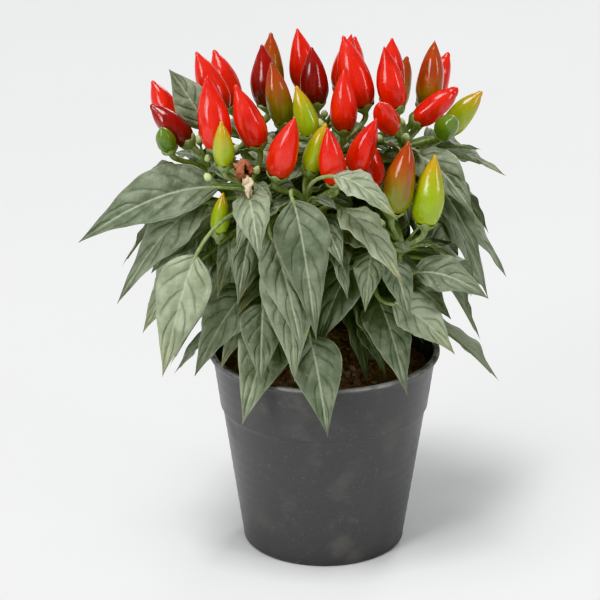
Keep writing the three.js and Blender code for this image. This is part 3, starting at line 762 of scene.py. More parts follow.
# Colours are written as they look on a screen and turned into the light that a surface gives back
def ink(red, green, blue):
    shares = [c / 255 for c in (red, green, blue)]
    return (*[c / 12.92 if c <= 0.04 else ((c + 0.055) / 1.055) ** 2.4 for c in shares], 1)


class Signal:
    """A value, colour or place that a node puts out. Sums and products of signals are nodes too."""

    def __init__(self, tree, socket):
        self.tree = tree
        self.socket = socket

    def calc(self, operation, *others):
        return calc(operation, self, *others)

    def calc_from(self, operation, other):
        return calc(operation, other, self)

    __add__ = partialmethod(calc, "ADD")
    __sub__ = partialmethod(calc, "SUBTRACT")
    __rsub__ = partialmethod(calc_from, "SUBTRACT")
    __mul__ = partialmethod(calc, "MULTIPLY")
    __rtruediv__ = partialmethod(calc_from, "DIVIDE")
    __pow__ = partialmethod(calc, "POWER")
    __abs__ = partialmethod(calc, "ABSOLUTE")


def feed(tree, socket, value):
    """Links a signal to a socket, or sets the socket to a plain value."""
    if isinstance(value, Signal):
        tree.links.new(value.socket, socket)
    else:
        socket.default_value = value


def add_node(tree, kind, inputs, out=0, **settings):
    """A node with its inputs and settings, as the signal that one of its outputs gives."""
    node = tree.nodes.new("ShaderNode" + kind)
    for name, value in settings.items():
        setattr(node, name, value)
    for name, value in inputs.items():
        feed(tree, node.inputs[name], value)
    return Signal(tree, node.outputs[out])


def calc(operation, *values):
    tree = next(value.tree for value in values if isinstance(value, Signal))
    return add_node(tree, "Math", dict(enumerate(values)), operation=operation)


def fade(value, low, high):
    """Rises smoothly from 0 to 1 as the value goes from low to high, or falls where high is the smaller."""
    inputs = {"Value": value, "From Min": low, "From Max": high}
    return add_node(value.tree, "MapRange", inputs, interpolation_type="SMOOTHSTEP")


def blend(share, first, second):
    return add_node(share.tree, "Mix", {0: share, 6: first, 7: second}, out=2, data_type="RGBA")


def layered(colour, *layers):
    """A colour with others laid over it, each by its share."""
    for share, over in layers:
        colour = blend(share, colour, over)
    return colour


def values_on(tree, *names):
    """What a mesh holds at each point under these names."""
    return [add_node(tree, "Attribute", {}, out="Fac", attribute_name=name) for name in names]


def place_on(tree):
    return add_node(tree, "TexCoord", {}, out="Object")


def noise_on(tree, scale, detail, stretch=None, **more):
    """Noise over the surface, drawn out along the axes whose stretch is small."""
    place = place_on(tree)
    if stretch:
        place = add_node(tree, "Mapping", {"Vector": place, "Scale": stretch})
    return add_node(tree, "TexNoise", {"Vector": place, "Scale": scale, "Detail": detail, **more})


def make_group(name, outputs, build, **inputs):
    """A node group with named inputs and outputs. What it puts out, build makes from its inputs. Gives
    what places it in a tree, with values for its first inputs, and then gives its outputs in their order."""
    group = bpy.data.node_groups.new(name, "ShaderNodeTree")
    for label, value in inputs.items():
        group.interface.new_socket(label, in_out="INPUT", socket_type="NodeSocketFloat").default_value = value
    for label in outputs:
        group.interface.new_socket(label, in_out="OUTPUT", socket_type="NodeSocketFloat")
    given = group.nodes.new("NodeGroupInput").outputs
    made = build(group, *[Signal(group, given[label]) for label in inputs])
    for socket, signal in zip(group.nodes.new("NodeGroupOutput").inputs, made):
        feed(group, socket, signal)

    def place(tree, *values):
        node = tree.nodes.new("ShaderNodeGroup")
        node.node_tree = group
        for socket, value in zip(node.inputs, values):
            feed(tree, socket, value)
        put_out = [Signal(tree, socket) for socket in node.outputs]
        return put_out if len(put_out) > 1 else put_out[0]

    return place


def soft_patches(tree, size, detail, low, high):
    """Soft patches of noise, as a mask: Size in millimetres, and where the mask starts and is full."""
    return [fade(noise_on(tree, 1000 / size, detail), low, high)]


def fine_grain(tree, size, depth, roughness):
    """Fine raised grain: Size in millimetres and Depth as a share of a millimetre."""
    return [noise_on(tree, 1000 / size, 5, Roughness=roughness) * depth]


def leaf_veins(tree, across, along, rib, pairs, slant):
    """The midrib and the side veins of a leaf, which slant towards its tip and loop near its margin."""
    side = abs(across)
    wander = (noise_on(tree, 120, 2) - 0.5) * 0.5
    offset = calc("GREATER_THAN", across, 0) * VEIN_OFFSET
    phase = (along - side**VEIN_BEND * slant) * pairs + (offset + wander)
    between = abs(calc("FRACT", phase) - 0.5)
    inner = fade(side, 0.97, 0.55)
    puffed = 1 - (between * 2) ** 2.5
    return [fade(rib, 0.62, 0.16), fade(between, 0.36, 0.5) * inner, puffed * (fade(rib, 0.3, 3) * inner)]


def ripening(tree, along, tone, start, end, wander):
    """How far the colour of ripeness has come down a chilli from its tip, with an uneven edge."""
    uneven = noise_on(tree, 170, 2, stretch=(1, 1, 0.45))
    reached = along + ((uneven - 0.5) * wander + (tone - 0.5) * 0.3)
    return [fade(reached, start, end), uneven]


patches = make_group("patches", ["Mask"], soft_patches, Size=5, Detail=3, Low=0.4, High=0.6)
grain = make_group("grain", ["Height"], fine_grain, Size=1, Depth=0.1, Roughness=0.6)
veins_on = make_group(
    "leaf_veins", ["Midrib", "Veins", "Swell"], leaf_veins,
    Across=0, Along=0, Rib=0, Pairs=VEIN_PAIRS, Slant=VEIN_SLANT,
)
ripening_on = make_group(
    "ripening", ["Mask", "Flush"], ripening, Along=0, Tone=0.5, Start=0.2, End=0.8, Wander=0.3
)


def new_material(name, roughness=0.5, **plain):
    """A material and its tree; plain values go straight on the shader's sockets."""
    material = bpy.data.materials.new(name)
    material.use_nodes = True
    inputs = material.node_tree.nodes["Principled BSDF"].inputs
    for label, value in {"Roughness": roughness, **plain}.items():
        inputs[label.replace("_", " ")].default_value = value
    return material, material.node_tree


def dress(material, colour, height, strength, depth_mm, roughness=None):
    """Gives a material its colour, its relief and, where that varies, its roughness."""
    tree = material.node_tree
    inputs = tree.nodes["Principled BSDF"].inputs
    feed(tree, inputs["Base Color"], colour)
    if roughness:
        feed(tree, inputs["Roughness"], roughness)
    bump = {"Strength": strength, "Distance": depth_mm * MM, "Height": height}
    feed(tree, inputs["Normal"], add_node(tree, "Bump", bump))
    return material


def leaf_material():
    material, tree = new_material(
        "leaf_sage_green", Sheen_Weight=0.18, Sheen_Roughness=0.45, Specular_IOR_Level=0.42
    )
    across, along, under, rib, tone, inner = values_on(tree, *LEAF_VALUES)
    midrib, veins, swell = veins_on(tree, across, along, rib)
    mottle = patches(tree, 8, 5, 0.3, 0.7)
    fresh = blend(mottle, ink(132, 143, 113), ink(160, 169, 143))
    mature = blend(mottle, ink(91, 102, 78), ink(125, 135, 111))
    yellowing = fade(along, 0.72, 1.0) * fade(tone, 0.72, 0.95)
    upper = layered(
        blend(fade(tone, 0.2, 0.9), mature, fresh),
        # Painted shade on the leaves inside the plant, partly a real deeper green
        (inner * 0.85, ink(58, 71, 40)),
        (yellowing * 0.6, ink(174, 171, 110)),
        # A paler margin: partly the leaf's own colour, partly painted highlight along its edge
        (fade(abs(across), 0.92, 1.0) * 0.4, ink(180, 183, 156)),
        # Darker side veins: painted shade in their sunken grooves
        (veins * 0.42, ink(86, 96, 71)),
        (midrib * 0.55, ink(184, 191, 162)),
    )
    lower = blend(veins * 0.3, ink(150, 159, 134), ink(168, 176, 151))
    rough = patches(tree, 3, 5, 0.3, 0.7) * 0.14 + under * 0.2 + 0.38
    # The relief of the upper face is turned round for the lower
    facing = 1 - under * 2
    fine = grain(tree, 0.9, 0.2) + grain(tree, 3, 2.2, 0.45) * facing
    return dress(material, blend(under, upper, lower), (swell - veins * 0.6) * facing + fine, 0.9, 0.5, rough)


def stem_material():
    material, tree = new_material("stem_green", 0.48, Specular_IOR_Level=0.4)
    woody = values_on(tree, "woody")[0]
    streak = noise_on(tree, 900, 3, stretch=(1, 1, 0.12))
    bright = fade(streak, 0.35, 0.65)
    green = blend(bright, ink(118, 136, 84), ink(148, 162, 114))
    brown = blend(bright, ink(108, 104, 70), ink(138, 130, 94))
    return dress(material, blend(woody, green, brown), grain(tree, 0.8, 0.3) + streak, 0.5, 0.25)


# For each ripeness: the colour at the calyx, the colour towards the tip, a darker or warmer flush, and
# where along the chilli the change starts and ends
RIPE_COLOURS = {
    "red": (ink(170, 44, 16), ink(222, 38, 20), ink(188, 22, 16), -0.12, 0.26),
    "dark_red": (ink(84, 22, 12), ink(150, 22, 14), ink(92, 14, 10), 0.0, 0.7),
    "turning": (ink(124, 128, 36), ink(164, 62, 20), ink(114, 52, 18), 0.1, 0.72),
    "yellow_green": (ink(144, 168, 32), ink(190, 144, 34), ink(172, 172, 52), 0.42, 1.0),
    "unripe": (ink(74, 102, 28), ink(98, 124, 42), ink(86, 110, 34), 0.3, 0.9),
}


def chilli_material(ripeness):
    foot, tip, flush, start, end = RIPE_COLOURS[ripeness]
    material, tree = new_material(
        "chilli_skin_" + ripeness, 0.2, Coat_Weight=0.45, Coat_Roughness=0.07, Specular_IOR_Level=0.5
    )
    along, tone = values_on(tree, "along", "tone")
    ripe, uneven = ripening_on(tree, along, tone, start, end)
    flushed = fade(uneven, 0.42, 0.72) * (tone * 0.6 + 0.2)
    skin = layered(foot, (ripe, tip), (flushed, flush))
    folds = noise_on(tree, 230, 1, stretch=(1, 1, 0.3))
    rough = patches(tree, 2.5, 4, 0.35, 0.75) * 0.12 + 0.18
    return dress(material, skin, grain(tree, 3, 0.8, 0.45) + folds * 2.2, 0.6, 0.5, rough)


def petal_material(name, foot, tip, faded, roughness):
    """Petals, which go from one colour at the foot to another at the tip, and fade by tone."""
    material, tree = new_material(name, roughness, Specular_IOR_Level=0.3)
    along, tone = values_on(tree, "along", "tone")
    reach = along + patches(tree, 1.6, 4, 0.35, 0.65) * 0.25
    colour = layered(foot, (fade(reach, 0.15, 1.0), tip), (tone, faded))
    return dress(material, colour, grain(tree, 0.7, 0.6), 0.5, 0.25)


def pot_material():
    material, tree = new_material("pot_black_plastic", 0.42)
    dust = patches(tree, 14, 7, 0.48, 0.8)
    height = add_node(tree, "SeparateXYZ", {"Vector": place_on(tree)}, out="Z")
    # The top of the rim, where a painted highlight goes
    edge = fade(height, (POT_HEIGHT - 1.6) * MM, (POT_HEIGHT - 0.2) * MM)
    plastic = layered(
        ink(68, 68, 68),
        (dust * 0.45, ink(108, 105, 100)),
        (patches(tree, 1.5, 3, 0.6, 0.72) * 0.16, ink(136, 130, 120)),
        # Painted highlight along the top of the rim, broken into patches
        (edge * patches(tree, 5, 5, 0.25, 0.6) * 0.85, ink(164, 163, 159)),
    )
    lines = noise_on(tree, 1600, 3, stretch=(0.02, 0.02, 1))
    return dress(material, plastic, lines + grain(tree, 0.5, 0.4), 0.22, 0.2, dust * 0.25 + 0.36)


def soil_material():
    material, tree = new_material("soil_brown_peat", 0.95, Specular_IOR_Level=0.15)
    peat = layered(
        ink(104, 91, 83),
        (patches(tree, 11, 5, 0.35, 0.65), ink(130, 116, 107)),
        (patches(tree, 1.4, 5, 0.3, 0.7), ink(164, 147, 134)),
    )
    cells = add_node(tree, "TexVoronoi", {"Vector": place_on(tree), "Scale": 700})
    return dress(material, peat, cells + grain(tree, 1.2, 1.2, 0.75), 1.0, 0.9)


def flake_material(name, dark, pale, roughness):
    """Bits in the soil: each has its own shade between the two colours."""
    material, tree = new_material(name, roughness)
    spots = patches(tree, 0.9, 4, 0.3, 0.7)
    shade = values_on(tree, "tone")[0] * 0.7 + spots * 0.3
    return dress(material, blend(shade, dark, pale), spots, 0.5, 0.2)


trim = seeded_draws(977)


def both_faces(surface, out, half_thickness):
    """Rings that go over the upper face of a thin blade and back under its lower face."""
    lift = out * half_thickness[..., None]
    return np.concatenate([surface + lift, (surface - lift)[:, ::-1]], 1)


def add_leaf(blades, stems, leaf):
    """A blade with a sunken midrib, waved margin and swellings between its veins, and its petiole."""
    rows = int(np.clip(distance(leaf.base, leaf.tip) / BLADE_ROW_STEP, FEWEST_BLADE_ROWS, MOST_BLADE_ROWS))
    t = np.linspace(0, 1, rows) ** 0.92
    x = BLADE_COLUMNS
    tone = trim()
    ruffle = 0.3 + 0.5 * trim()
    ruffles = 4 + 3 * trim()
    out = frames_on(leaf, leaf.blade, t, 1)[2][:, None]
    half = blade_half(leaf, t, BLADE_NARROWEST)
    full = np.minimum(half / 7, 1)
    right = x > 0
    phase = VEIN_PAIRS * (t[:, None] - VEIN_SLANT * np.abs(x) ** VEIN_BEND) + VEIN_OFFSET * right
    swell = SWELLING * np.abs(np.sin(np.pi * phase)) * (1 - x**4) * np.minimum(np.abs(x) * 3, 1) * full
    wave = ruffle * np.sin(2 * np.pi * ruffles * t[:, None] + 1.3 * right) * np.abs(x) ** 3 * full
    groove = MIDRIB_GROOVE * np.exp(-((half * x / 0.7) ** 2)) * np.minimum(half / 3, 1)
    surface = blade_points(leaf, t, x, BLADE_NARROWEST) + out * (swell + wave - groove)[..., None]
    rings = both_faces(surface, out, BLADE_HALF_THICKNESS * (1 - 0.45 * x**4) * np.minimum(half, 1))
    shape = rings.shape[:2]
    across = np.broadcast_to(np.concatenate([x, x[::-1]]), shape)
    under = np.broadcast_to(np.repeat([0.0, 1.0], len(x)), shape)
    rib = np.abs(across) * half / np.clip(half / 5, 0.12, 1)
    # How deep a blade lies inside the plant, for its painted shade
    from_middle = np.hypot(rings[..., 0] - CANOPY_CENTRE[0], rings[..., 1] - CANOPY_CENTRE[1])
    within = np.clip((INNER_EDGE - from_middle) / INNER_EDGE_FADE, 0, 1)
    inner = within * np.clip((INNER_TOP - rings[..., 2]) / INNER_TOP_FADE, 0, 1)
    blades.add_loft(rings, across=across, along=t, under=under, rib=rib, tone=tone, inner=inner)
    add_petiole(stems, leaf)


def add_leaves(stems, holders):
    """The leaves of some stems. Their petioles go with the stems, their blades into a skin of their own."""
    blades = Skin(*LEAF_VALUES)
    for holder in holders:
        for leaf in holder.leaves:
            add_leaf(blades, stems, leaf)
    return blades


def add_petiole(stems, leaf):
    """The petiole, which runs on under the blade as its midrib."""
    t = np.linspace(0, 1, 13)
    s = np.linspace(0, 0.93, 18)[1:]
    rib = 0.7 * (1 - s) ** 0.8 + 0.12
    sink = (rib + 0.25) * np.minimum(s / 0.14, 1) ** 1.5
    first = frames_on(leaf, leaf.petiole, t, t)
    last = frames_on(leaf, leaf.blade, s, 1)
    middle, side, normal = (np.concatenate(pair)[:, None] for pair in zip(first, last))
    middle[len(t):] -= normal[len(t):] * sink[:, None, None]
    radius = np.concatenate([PETIOLE_RADIUS * (1 + 0.5 * np.exp(-t * 9) - 0.12 * t), rib])
    turn = angles(8)[:, None]
    stems.add_loft(middle + (side * np.cos(turn) + normal * np.sin(turn)) * radius[:, None, None])


def add_stem(stems, stem, sides=14, steps=40, woody=0.0, swell=0.0):
    """A stem, slightly angular, that thickens at its foot by the swell given."""
    t = np.linspace(0, 1, steps)
    radius = stem_radius(stem, t) + swell * np.exp(-t * 12)
    angular = 1 + 0.05 * np.cos(5 * angles(sides) + trim() * 6)
    ripple = 1 + 0.03 * np.sin(t * 17 + trim() * 6)
    radii = (radius * ripple)[:, None] * angular
    rings = round_rings(along_curve(stem.controls, t), tangents(stem.controls, t), radii, sides)
    stems.add_loft(rings, woody=woody * (1 - t))


def stalk_rings(controls, thickness, fruit, cup, ribs, sides):
    """Rings of a thin stalk and of the cup that it widens into: radii at heights over the fruit's foot."""
    t = np.linspace(0, 1, len(thickness))
    heights, radii = np.array(cup).T
    middles = np.concatenate([along_curve(controls, t), fruit.foot + np.outer(heights, fruit.axis)])
    axes = np.concatenate([tangents(controls, t), np.broadcast_to(fruit.axis, (len(cup), 3))])
    every_radius = np.concatenate([thickness[:, None] * ribs, radii[:, None] * (0.5 + 0.5 * ribs)])
    return round_rings(middles, axes, every_radius, sides)


def add_stalk(stems, chilli):
    """A chilli's stalk, ribbed, with the toothed green calyx that holds the chilli's shoulder."""
    t = np.linspace(0, 1, 16)
    turn = angles(CALYX_SIDES)
    thickness = STALK_RADIUS * (1 + 0.35 * np.exp(-t * 8) + 0.3 * t**3)
    shoulder = chilli.radius * 0.62
    cup = [
        (-2.9, 1.5), (-2.2, 2.2), (-1.3, 3.2), (-0.5, 3.9), (0.4, shoulder + 0.75), (1.3, shoulder + 0.95),
        (1.25, shoulder + 0.55), (0.2, shoulder * 0.9), (-0.6, 1.2),
    ]
    ribs = 1 + 0.07 * np.cos(5 * turn)
    rings = stalk_rings(chilli.stalk, thickness, chilli, cup, ribs, CALYX_SIDES)
    teeth = np.clip([(height + 0.2) / 1.5 for height, _ in cup], 0, 1)
    rings[len(t):] += chilli.axis * np.outer(teeth, 0.8 * np.cos(5 * turn + 0.6))[..., None]
    stems.add_loft(rings)


def add_chilli(skin, chilli):
    """A conical chilli, slightly three-sided and uneven. The more it leans over, the blunter its point."""
    t = FIRST_CHILLI_RING + (1 - FIRST_CHILLI_RING) * np.linspace(0, 1, 44) ** 1.1
    rounded = np.sqrt(np.clip((t - FIRST_CHILLI_RING) / 0.03 + 0.15, 0, 1))
    leaning = 1 - chilli.axis[2]
    radius = chilli.radius * chilli_outline(t, 0.6 * trim() + 3 * leaning) * rounded
    tip = 0.4 + 0.6 * trim() + 4 * leaning
    radius = np.maximum(radius, tip * np.sqrt(np.clip((1.002 - t) * chilli.length / tip, 0, 1)))[:, None]
    turn, other = 6.3 * trim(), 6.3 * trim()
    lobes = 0.045 * np.cos(3 * angles(CHILLI_SIDES) + turn) * (1 - t[:, None])
    uneven = 0.03 * np.sin(10 * t[:, None] + other) * np.cos(angles(CHILLI_SIDES) - turn)
    axes = np.broadcast_to(chilli.axis, (len(t), 3))
    rings = round_rings(chilli_spine(chilli, t), axes, radius * (1 + lobes + uneven), CHILLI_SIDES)
    # The chilli stands a seat's gap over its calyx
    seat = chilli.axis * (SEAT_GAP - FIRST_CHILLI_RING * chilli.length)
    skin.add_loft(rings + seat, along=t, tone=trim())


def add_pedicel(stems, bud, *cup):
    """The thin stalk of a bud or flower, and the cup that it widens into."""
    root = along_curve(bud.holder.controls, 0.97)
    controls = [root, root + bud.holder.axis * 3, bud.foot - bud.axis * 4, bud.foot]
    thickness = np.linspace(0.75, 0.55, 12)
    stems.add_loft(stalk_rings(controls, thickness, bud, cup, np.ones(BUD_SIDES), BUD_SIDES))


def add_bud(stems, buds, bud):
    """A pointed bud with five faint ribs, in a small cup."""
    lip = (1.7, BUD_RADIUS + 0.15), (1.75, BUD_RADIUS - 0.2)
    add_pedicel(stems, bud, (0.3, 0.9), (0.9, 1.4), *lip, (1.0, 0.8))
    t = np.linspace(0, 1, 14)
    radius = BUD_RADIUS * np.sin(np.pi * (0.12 + 0.86 * t) ** 0.8) ** 0.8 + 0.06
    radii = radius[:, None] * (1 + 0.06 * np.cos(5 * angles(BUD_SIDES)))
    middles = bud.foot + np.outer(0.6 + (BUD_LENGTH - 0.6) * t, bud.axis)
    buds.add_loft(round_rings(middles, [bud.axis] * len(t), radii, BUD_SIDES), along=t, tone=trim())


def add_spent_flower(stems, petals, flower):
    """Five crumpled petals over a small cup. One of them is paler and hangs down."""
    add_pedicel(stems, flower, (0.3, 0.9), (1.0, 1.5), (2.2, 2.1), (2.3, 1.7), (1.4, 1.0))
    first, second = cross_axes(flower.axis)
    x = np.linspace(-1, 1, 11)
    t = np.linspace(0, 1, 26)
    for n in range(5):
        hangs = n == 4
        turn = 2 * math.pi * (n + 0.35) / 5
        out = unit(point(0.35, -1, 0.1)) if hangs else first * math.cos(turn) + second * math.sin(turn)
        start = flower.foot + flower.axis * 1.6 + out * 0.9
        crest = start + out * 5.5 + flower.axis * (2 if hangs else 3.5)
        tip = start + out * 5 - UP * 8 if hangs else start + flower.axis * (8 + 2.5 * trim()) - out * 0.6
        middle = [start, crest, tip]
        along = tangents(middle, t)
        side = unit(np.cross(along, out + UP * 0.01))
        normal = np.cross(side, along)[:, None]
        half = (2.3 + 0.35 * np.sin(19 * t + n)) * np.sin(np.pi * (0.1 + 0.84 * t)) ** 0.7
        shift = 40 * trim()
        spots = [[Vector((a * 5 + shift, b * 1.8, shift)) for b in x] for a in t]
        crumple = np.array([[noise.fractal(spot, 0.6, 2.3, 3) for spot in row] for row in spots]) * 2.4
        flat = along_curve(middle, t)[:, None] + side[:, None] * (half[:, None] * x)[..., None]
        surface = flat + normal * (crumple - 1.1 * x**2)[..., None]
        rings = both_faces(surface, normal, np.full(crumple.shape, 0.14))
        petals.add_loft(rings, along=t, tone=0.95 if hangs else 0.35 * trim())


def soil_height(x, y):
    out = np.hypot(x, y) / 48
    broad = np.sin(x * 0.23 + 1.1) * np.cos(y * 0.27 - 0.4)
    narrow = np.sin(x * 0.5 - y * 0.41 + 2)
    return SOIL_TOP + SOIL_MOUND * (0.5 - out * out) + 0.8 * broad + 0.48 * narrow


def crumbly(x, y):
    """A small rise or fall of loose soil at a point."""
    coarse = noise.noise(Vector((x * 0.35, y * 0.35, 0)))
    return 0.9 * coarse + 0.5 * noise.noise(Vector((x * 1.1, y * 1.1, 9)))


def make_soil(material):
    gap = WALL + SOIL_GAP + 0.1
    edge = COLLAR_RADIUS + COLLAR_SLOPE * (SOIL_TOP - 1.5 - COLLAR_FOOT) - gap
    rings = turned_rings([
        (0.02, BASE + SOIL_GAP), (FOOT_RADIUS - gap - 1, BASE + SOIL_GAP), (FOOT_RADIUS - gap, BASE + 1.4),
        (COLLAR_RADIUS - 1 - gap, COLLAR_FOOT - 1.4), (COLLAR_RADIUS - gap, COLLAR_FOOT + 0.2),
        (edge, SOIL_TOP - 1.5), *[(r, 0) for r in np.linspace(edge - 0.5, STEM_RADIUS - 0.6, SOIL_ROWS)],
    ], SOIL_SIDES)
    for ring in rings[-SOIL_ROWS:]:
        x, y = ring[:, 0], ring[:, 1]
        ring[:, 2] = soil_height(x, y) + [crumbly(a, b) for a, b in zip(x, y)]
    skin = Skin()
    skin.add_loft(np.array(rings))
    skin.make("soil_body", material, "soil", "soil")


def soil_spot(margin):
    """A spot on the soil, so far from its edge."""
    r = math.sqrt(SOIL_MIDDLE**2 + ((SOIL_EDGE - margin) ** 2 - SOIL_MIDDLE**2) * trim())
    turn = 2 * math.pi * trim()
    x, y = r * math.cos(turn), r * math.sin(turn)
    return x, y, float(soil_height(x, y)) + crumbly(x, y)


def add_lump(skin, size, lift, flatness):
    """One rough lump at a spot on the soil, as an uneven ball of few faces."""
    x, y, z = soil_spot(size)
    tone = trim()
    shift = Vector((trim() * 50, 0, 0))
    rings = []
    for rise in np.linspace(LUMP_TOP, -LUMP_TOP, 7):
        ways = [Vector(heading(angle, rise)) for angle in range(0, 360, 40)]
        rings.append([way * (size * (1 + 0.55 * noise.noise(way * 1.6 + shift))) for way in ways])
    skin.add_loft(np.array(rings) * [1, 1, flatness] + [x, y, z + lift], tone=tone)


def make_crumbs(material):
    """Crumbs strewn on the soil, few of them large."""
    skin = Skin("tone")
    for _ in range(CRUMBS):
        size = 0.6 + 1.5 * trim() ** 2.5
        add_lump(skin, size, size / 4, 0.75)
    skin.make("soil_crumbs", material, "soil")


def make_chips(material):
    """Pale flat chips that lie on the soil."""
    skin = Skin("tone")
    for _ in range(CHIPS):
        add_lump(skin, 0.7 + 1.1 * trim(), 0.35, 0.22)
    skin.make("soil_chips", material, "soil")


def make_fibres(material):
    """Reddish fibres that lie curled in and over the soil."""
    skin = Skin("tone")
    for _ in range(FIBRES):
        length = 5 + 11 * trim()
        x, y, z = soil_spot(4)
        way = heading(360 * trim())
        side = point(-way[1], way[0], 0)
        curl, hump = (trim() - 0.5) * length * 0.8, 0.6 + 2.4 * trim() ** 2
        t = np.linspace(0, 1, 14)
        middles = point(x, y, z - 0.2) + np.outer((t - 0.5) * length, way)
        middles += np.outer(curl * (t - 0.5) ** 2 * 2, side)
        if np.hypot(middles[:, 0], middles[:, 1]).max() > SOIL_EDGE:
            continue
        rise = soil_height(middles[:, 0], middles[:, 1]) - soil_height(x, y)
        middles[:, 2] += hump * np.sin(np.pi * t) ** 1.2 + rise
        radius = (0.13 + 0.12 * trim()) * (1 - 0.6 * np.abs(2 * t - 1) ** 3)
        skin.add_loft(round_rings(middles, unit(np.gradient(middles, axis=0)), radius, 5), tone=trim())
    skin.make("soil_fibres", material, "soil")


def bead(middle_r, middle_z, radius, start, end, steps):
    """Points of a rounded edge in a turned profile, from one angle to another in degrees."""
    turn = np.radians(np.linspace(start, end, steps))
    return [(middle_r + radius * math.cos(a), middle_z + radius * math.sin(a)) for a in turn]


def wall_between(low, high, rows):
    """Rows of a moulded wall, with the faint rings that the mould's steps leave."""
    made = []
    for t in np.linspace(0, 1, rows):
        ring = 0.06 * math.sin(t * rows * 1.9) * min(1, 8 * t, 8 * (1 - t))
        made.append((low[0] + (high[0] - low[0]) * t + ring, low[1] + (high[1] - low[1]) * t))
    return made


def make_pot(material):
    inner_rim = COLLAR_RADIUS - WALL + COLLAR_SLOPE * (POT_HEIGHT - COLLAR_FOOT)
    inner_foot = FOOT_RADIUS - WALL
    profile = [
        (0.02, 0.0), (FOOT_RADIUS - 2.4, 0.0), *bead(FOOT_RADIUS - 1.4, 1.4, 1.4, -90, -8, 7),
        *wall_between((FOOT_RADIUS, 2.2), (COLLAR_RADIUS - 1.1, COLLAR_FOOT - 1.4), 40),
        (COLLAR_RADIUS - 0.7, COLLAR_FOOT - 1.0), (COLLAR_RADIUS - 0.15, COLLAR_FOOT - 0.6),
        (COLLAR_RADIUS, COLLAR_FOOT),
        *wall_between((COLLAR_RADIUS, COLLAR_FOOT + 0.4), (RIM_RADIUS - RIM_STEP, COLLAR_TOP - 0.4), 14),
        (RIM_RADIUS - RIM_STEP + 0.2, COLLAR_TOP - 0.1),
        *bead(RIM_RADIUS - LIP, POT_HEIGHT - LIP, LIP, -62, 100, 14),
        (inner_rim + 0.5, POT_HEIGHT - 0.15), (inner_rim, POT_HEIGHT - 0.9),
        (COLLAR_RADIUS - WALL, COLLAR_FOOT), (COLLAR_RADIUS - 1 - WALL, COLLAR_FOOT - 1.2),
        (inner_foot, BASE + 0.8), (inner_foot - 0.8, BASE), (0.02, BASE),
    ]
    skin = Skin()
    skin.add_loft(np.array(turned_rings(profile, POT_SIDES)))
    pot = skin.make("pot_shell", material, "pot", "pot")
    pot.data.set_sharp_from_angle(angle=math.radians(40))
    drill = Skin()
    hole = np.array(turned_rings([(DRAIN_HOLE_RADIUS, -3), (DRAIN_HOLE_RADIUS, 4)], 24))
    for n in range(DRAIN_HOLES):
        drill.add_loft(hole + heading(360 / DRAIN_HOLES * n) * DRAIN_RING)
    cutter = drill.make("drain_cutter", material, "pot")
    cut = pot.modifiers.new("drain_holes", "BOOLEAN")
    cut.object = cutter
    cut.operation = "DIFFERENCE"
    cut.solver = "EXACT"
    holed = bpy.data.meshes.new_from_object(pot.evaluated_get(bpy.context.evaluated_depsgraph_get()))
    pot.modifiers.clear()
    pot.data = holed
    bpy.data.objects.remove(cutter)


def make_flowers(plant, stem_green, bud_green, petal_brown):
    """The buds and the spent flower, with their stalks."""
    stems = Skin("woody")
    buds = Skin("along", "tone")
    petals = Skin("along", "tone")
    for shoot in plant.shoots:
        for bud in shoot.buds:
            add_bud(stems, buds, bud)
    add_spent_flower(stems, petals, plant.spent)
    stems.make("bud_stalks", stem_green, "stem")
    buds.make("flower_buds", bud_green, "leaf")
    petals.make("spent_flower", petal_brown, "leaf")


def make_plant(plant, leaf_green, stem_green, skins):
    wood = Skin("woody")
    add_stem(wood, plant.trunk, sides=24, steps=70, woody=1.0, swell=0.5)
    for limb in plant.limbs:
        add_stem(wood, limb, sides=18, steps=36)
    for shoot in plant.shoots:
        last = shoot.node + shoot.start * (shoot.stub_length + 0.4)
        first = shoot.node - shoot.start * 1.2
        stub = [first, (first + last) / 2, last]
        add_stem(wood, new_stem(None, stub, SHOOT_FOOT_RADIUS + 0.2, SHOOT_FOOT_RADIUS), steps=10)
    blades = add_leaves(wood, [plant.trunk, *plant.limbs])
    wood.make("main_stem_wood", stem_green, "stem", "main_stem")
    blades.make("main_stem_leaves", leaf_green, "leaf", "main_stem")
    number = 0
    for n, shoot in enumerate(plant.shoots, 1):
        stems = Skin("woody")
        add_stem(stems, shoot)
        blades = add_leaves(stems, [shoot])
        for chilli in shoot.chillies:
            number += 1
            add_stalk(stems, chilli)
            fruit = Skin("along", "tone")
            add_chilli(fruit, chilli)
            ripe = chilli.ripeness
            label = f"{number:02d}_{ripe}"
            fruit.make("fruit_" + label, skins[ripe], "chilli_" + ripe, "chilli_" + label)
        stems.make(f"shoot_{n}_stems", stem_green, "stem", f"leafy_shoot_{n}")
        blades.make(f"shoot_{n}_leaves", leaf_green, "leaf", f"leafy_shoot_{n}")


def aim(thing, place, target):
    thing.location = place
    thing.rotation_euler = (Vector(target) - Vector(place)).to_track_quat("-Z", "Y").to_euler()


def make_light():
    """Soft daylight from all sides, and four windows: their places, widths, heights and powers."""
    world = bpy.data.worlds.new("soft_daylight")
    world.use_nodes = True
    sky = world.node_tree.nodes["Background"].inputs
    sky["Color"].default_value = (0.97, 0.985, 1, 1)
    sky["Strength"].default_value = 0.4
    bpy.context.scene.world = world
    for name, place, width, height, power in [
        ("roof", (-0.4, -0.45, 2.4), 1.0, 1.0, 40),
        ("window", (-1.3, -1.5, 1.0), 0.6, 1.0, 17),
        ("side_window", (1.6, -1.0, 0.8), 0.25, 0.8, 6),
        ("back_window", (0.7, 1.9, 1.3), 0.6, 0.9, 11),
    ]:
        lamp = bpy.data.lights.new(name, "AREA")
        lamp.shape = "RECTANGLE"
        lamp.size = width
        lamp.size_y = height
        lamp.energy = power
        aim(add_object(name, lamp), place, LIT_SPOT)


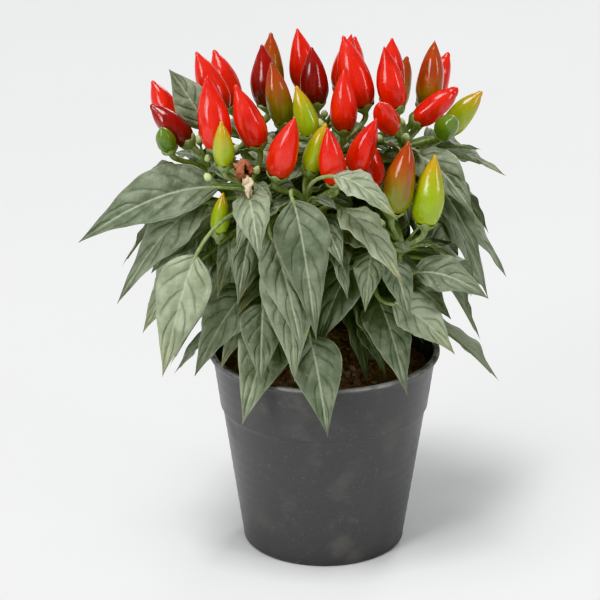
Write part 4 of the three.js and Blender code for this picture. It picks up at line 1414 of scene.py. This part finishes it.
def make_floor():
    """A round pale floor that curves up into a wall on every side."""
    material, tree = new_material("floor_pale", 0.7)
    tint = blend(patches(tree, 300, 2, 0.3, 0.7), ink(238, 238, 238), ink(242, 242, 242))
    feed(tree, tree.nodes["Principled BSDF"].inputs["Base Color"], tint)
    turn = np.linspace(0, np.pi / 2, 16)
    curve = zip(FLOOR_RADIUS + FLOOR_CURVE * np.sin(turn), FLOOR_CURVE * (1 - np.cos(turn)))
    profile = [(0.5, 0.0), (1.5, 0.0), *curve, (FLOOR_RADIUS + FLOOR_CURVE, FLOOR_WALL)]
    quads = ring_quads(len(profile), FLOOR_SIDES)[:, ::-1]
    mesh = bpy.data.meshes.new("floor_sweep")
    points = np.concatenate(turned_rings(profile, FLOOR_SIDES))
    mesh.from_pydata(points.tolist(), [], [list(range(FLOOR_SIDES)), *quads.tolist()])
    mesh.shade_smooth()
    mesh.materials.append(material)
    floor = add_object("floor_sweep", mesh)


def make_camera():
    low, high = cad_box
    target = Vector(((low[0] + high[0]) / 2, 0, (low[2] + high[2]) / 2 - 0.002))
    rise = math.radians(VIEW_ELEVATION)
    lens = bpy.data.cameras.new("camera")
    lens.sensor_width = 36
    lens.lens = lens.sensor_width * VIEW_DISTANCE / FRAMED
    camera = add_object("camera", lens)
    aim(camera, target + VIEW_DISTANCE * Vector((0, -math.cos(rise), math.sin(rise))), target)
    bpy.context.scene.camera = camera


plant = grow_plant()
make_pot(pot_material())
make_soil(soil_material())
make_crumbs(flake_material("soil_crumb", ink(84, 74, 68), ink(158, 141, 128), 0.95))
make_chips(flake_material("soil_chip", ink(134, 112, 92), ink(206, 190, 166), 0.85))
make_fibres(flake_material("soil_fibre", ink(116, 88, 70), ink(176, 150, 124), 0.8))
stem_green = stem_material()
make_plant(plant, leaf_material(), stem_green, {name: chilli_material(name) for name in RIPE_COLOURS})
bud_green = petal_material("bud_pale_green", ink(138, 160, 96), ink(206, 214, 168), ink(190, 206, 140), 0.45)
petal_brown = petal_material("petal_withered", ink(92, 62, 46), ink(168, 98, 72), ink(222, 206, 176), 0.8)
make_flowers(plant, stem_green, bud_green, petal_brown)
make_floor()
make_light()
make_camera()
bpy.context.scene.view_settings.view_transform = "Khronos PBR Neutral"
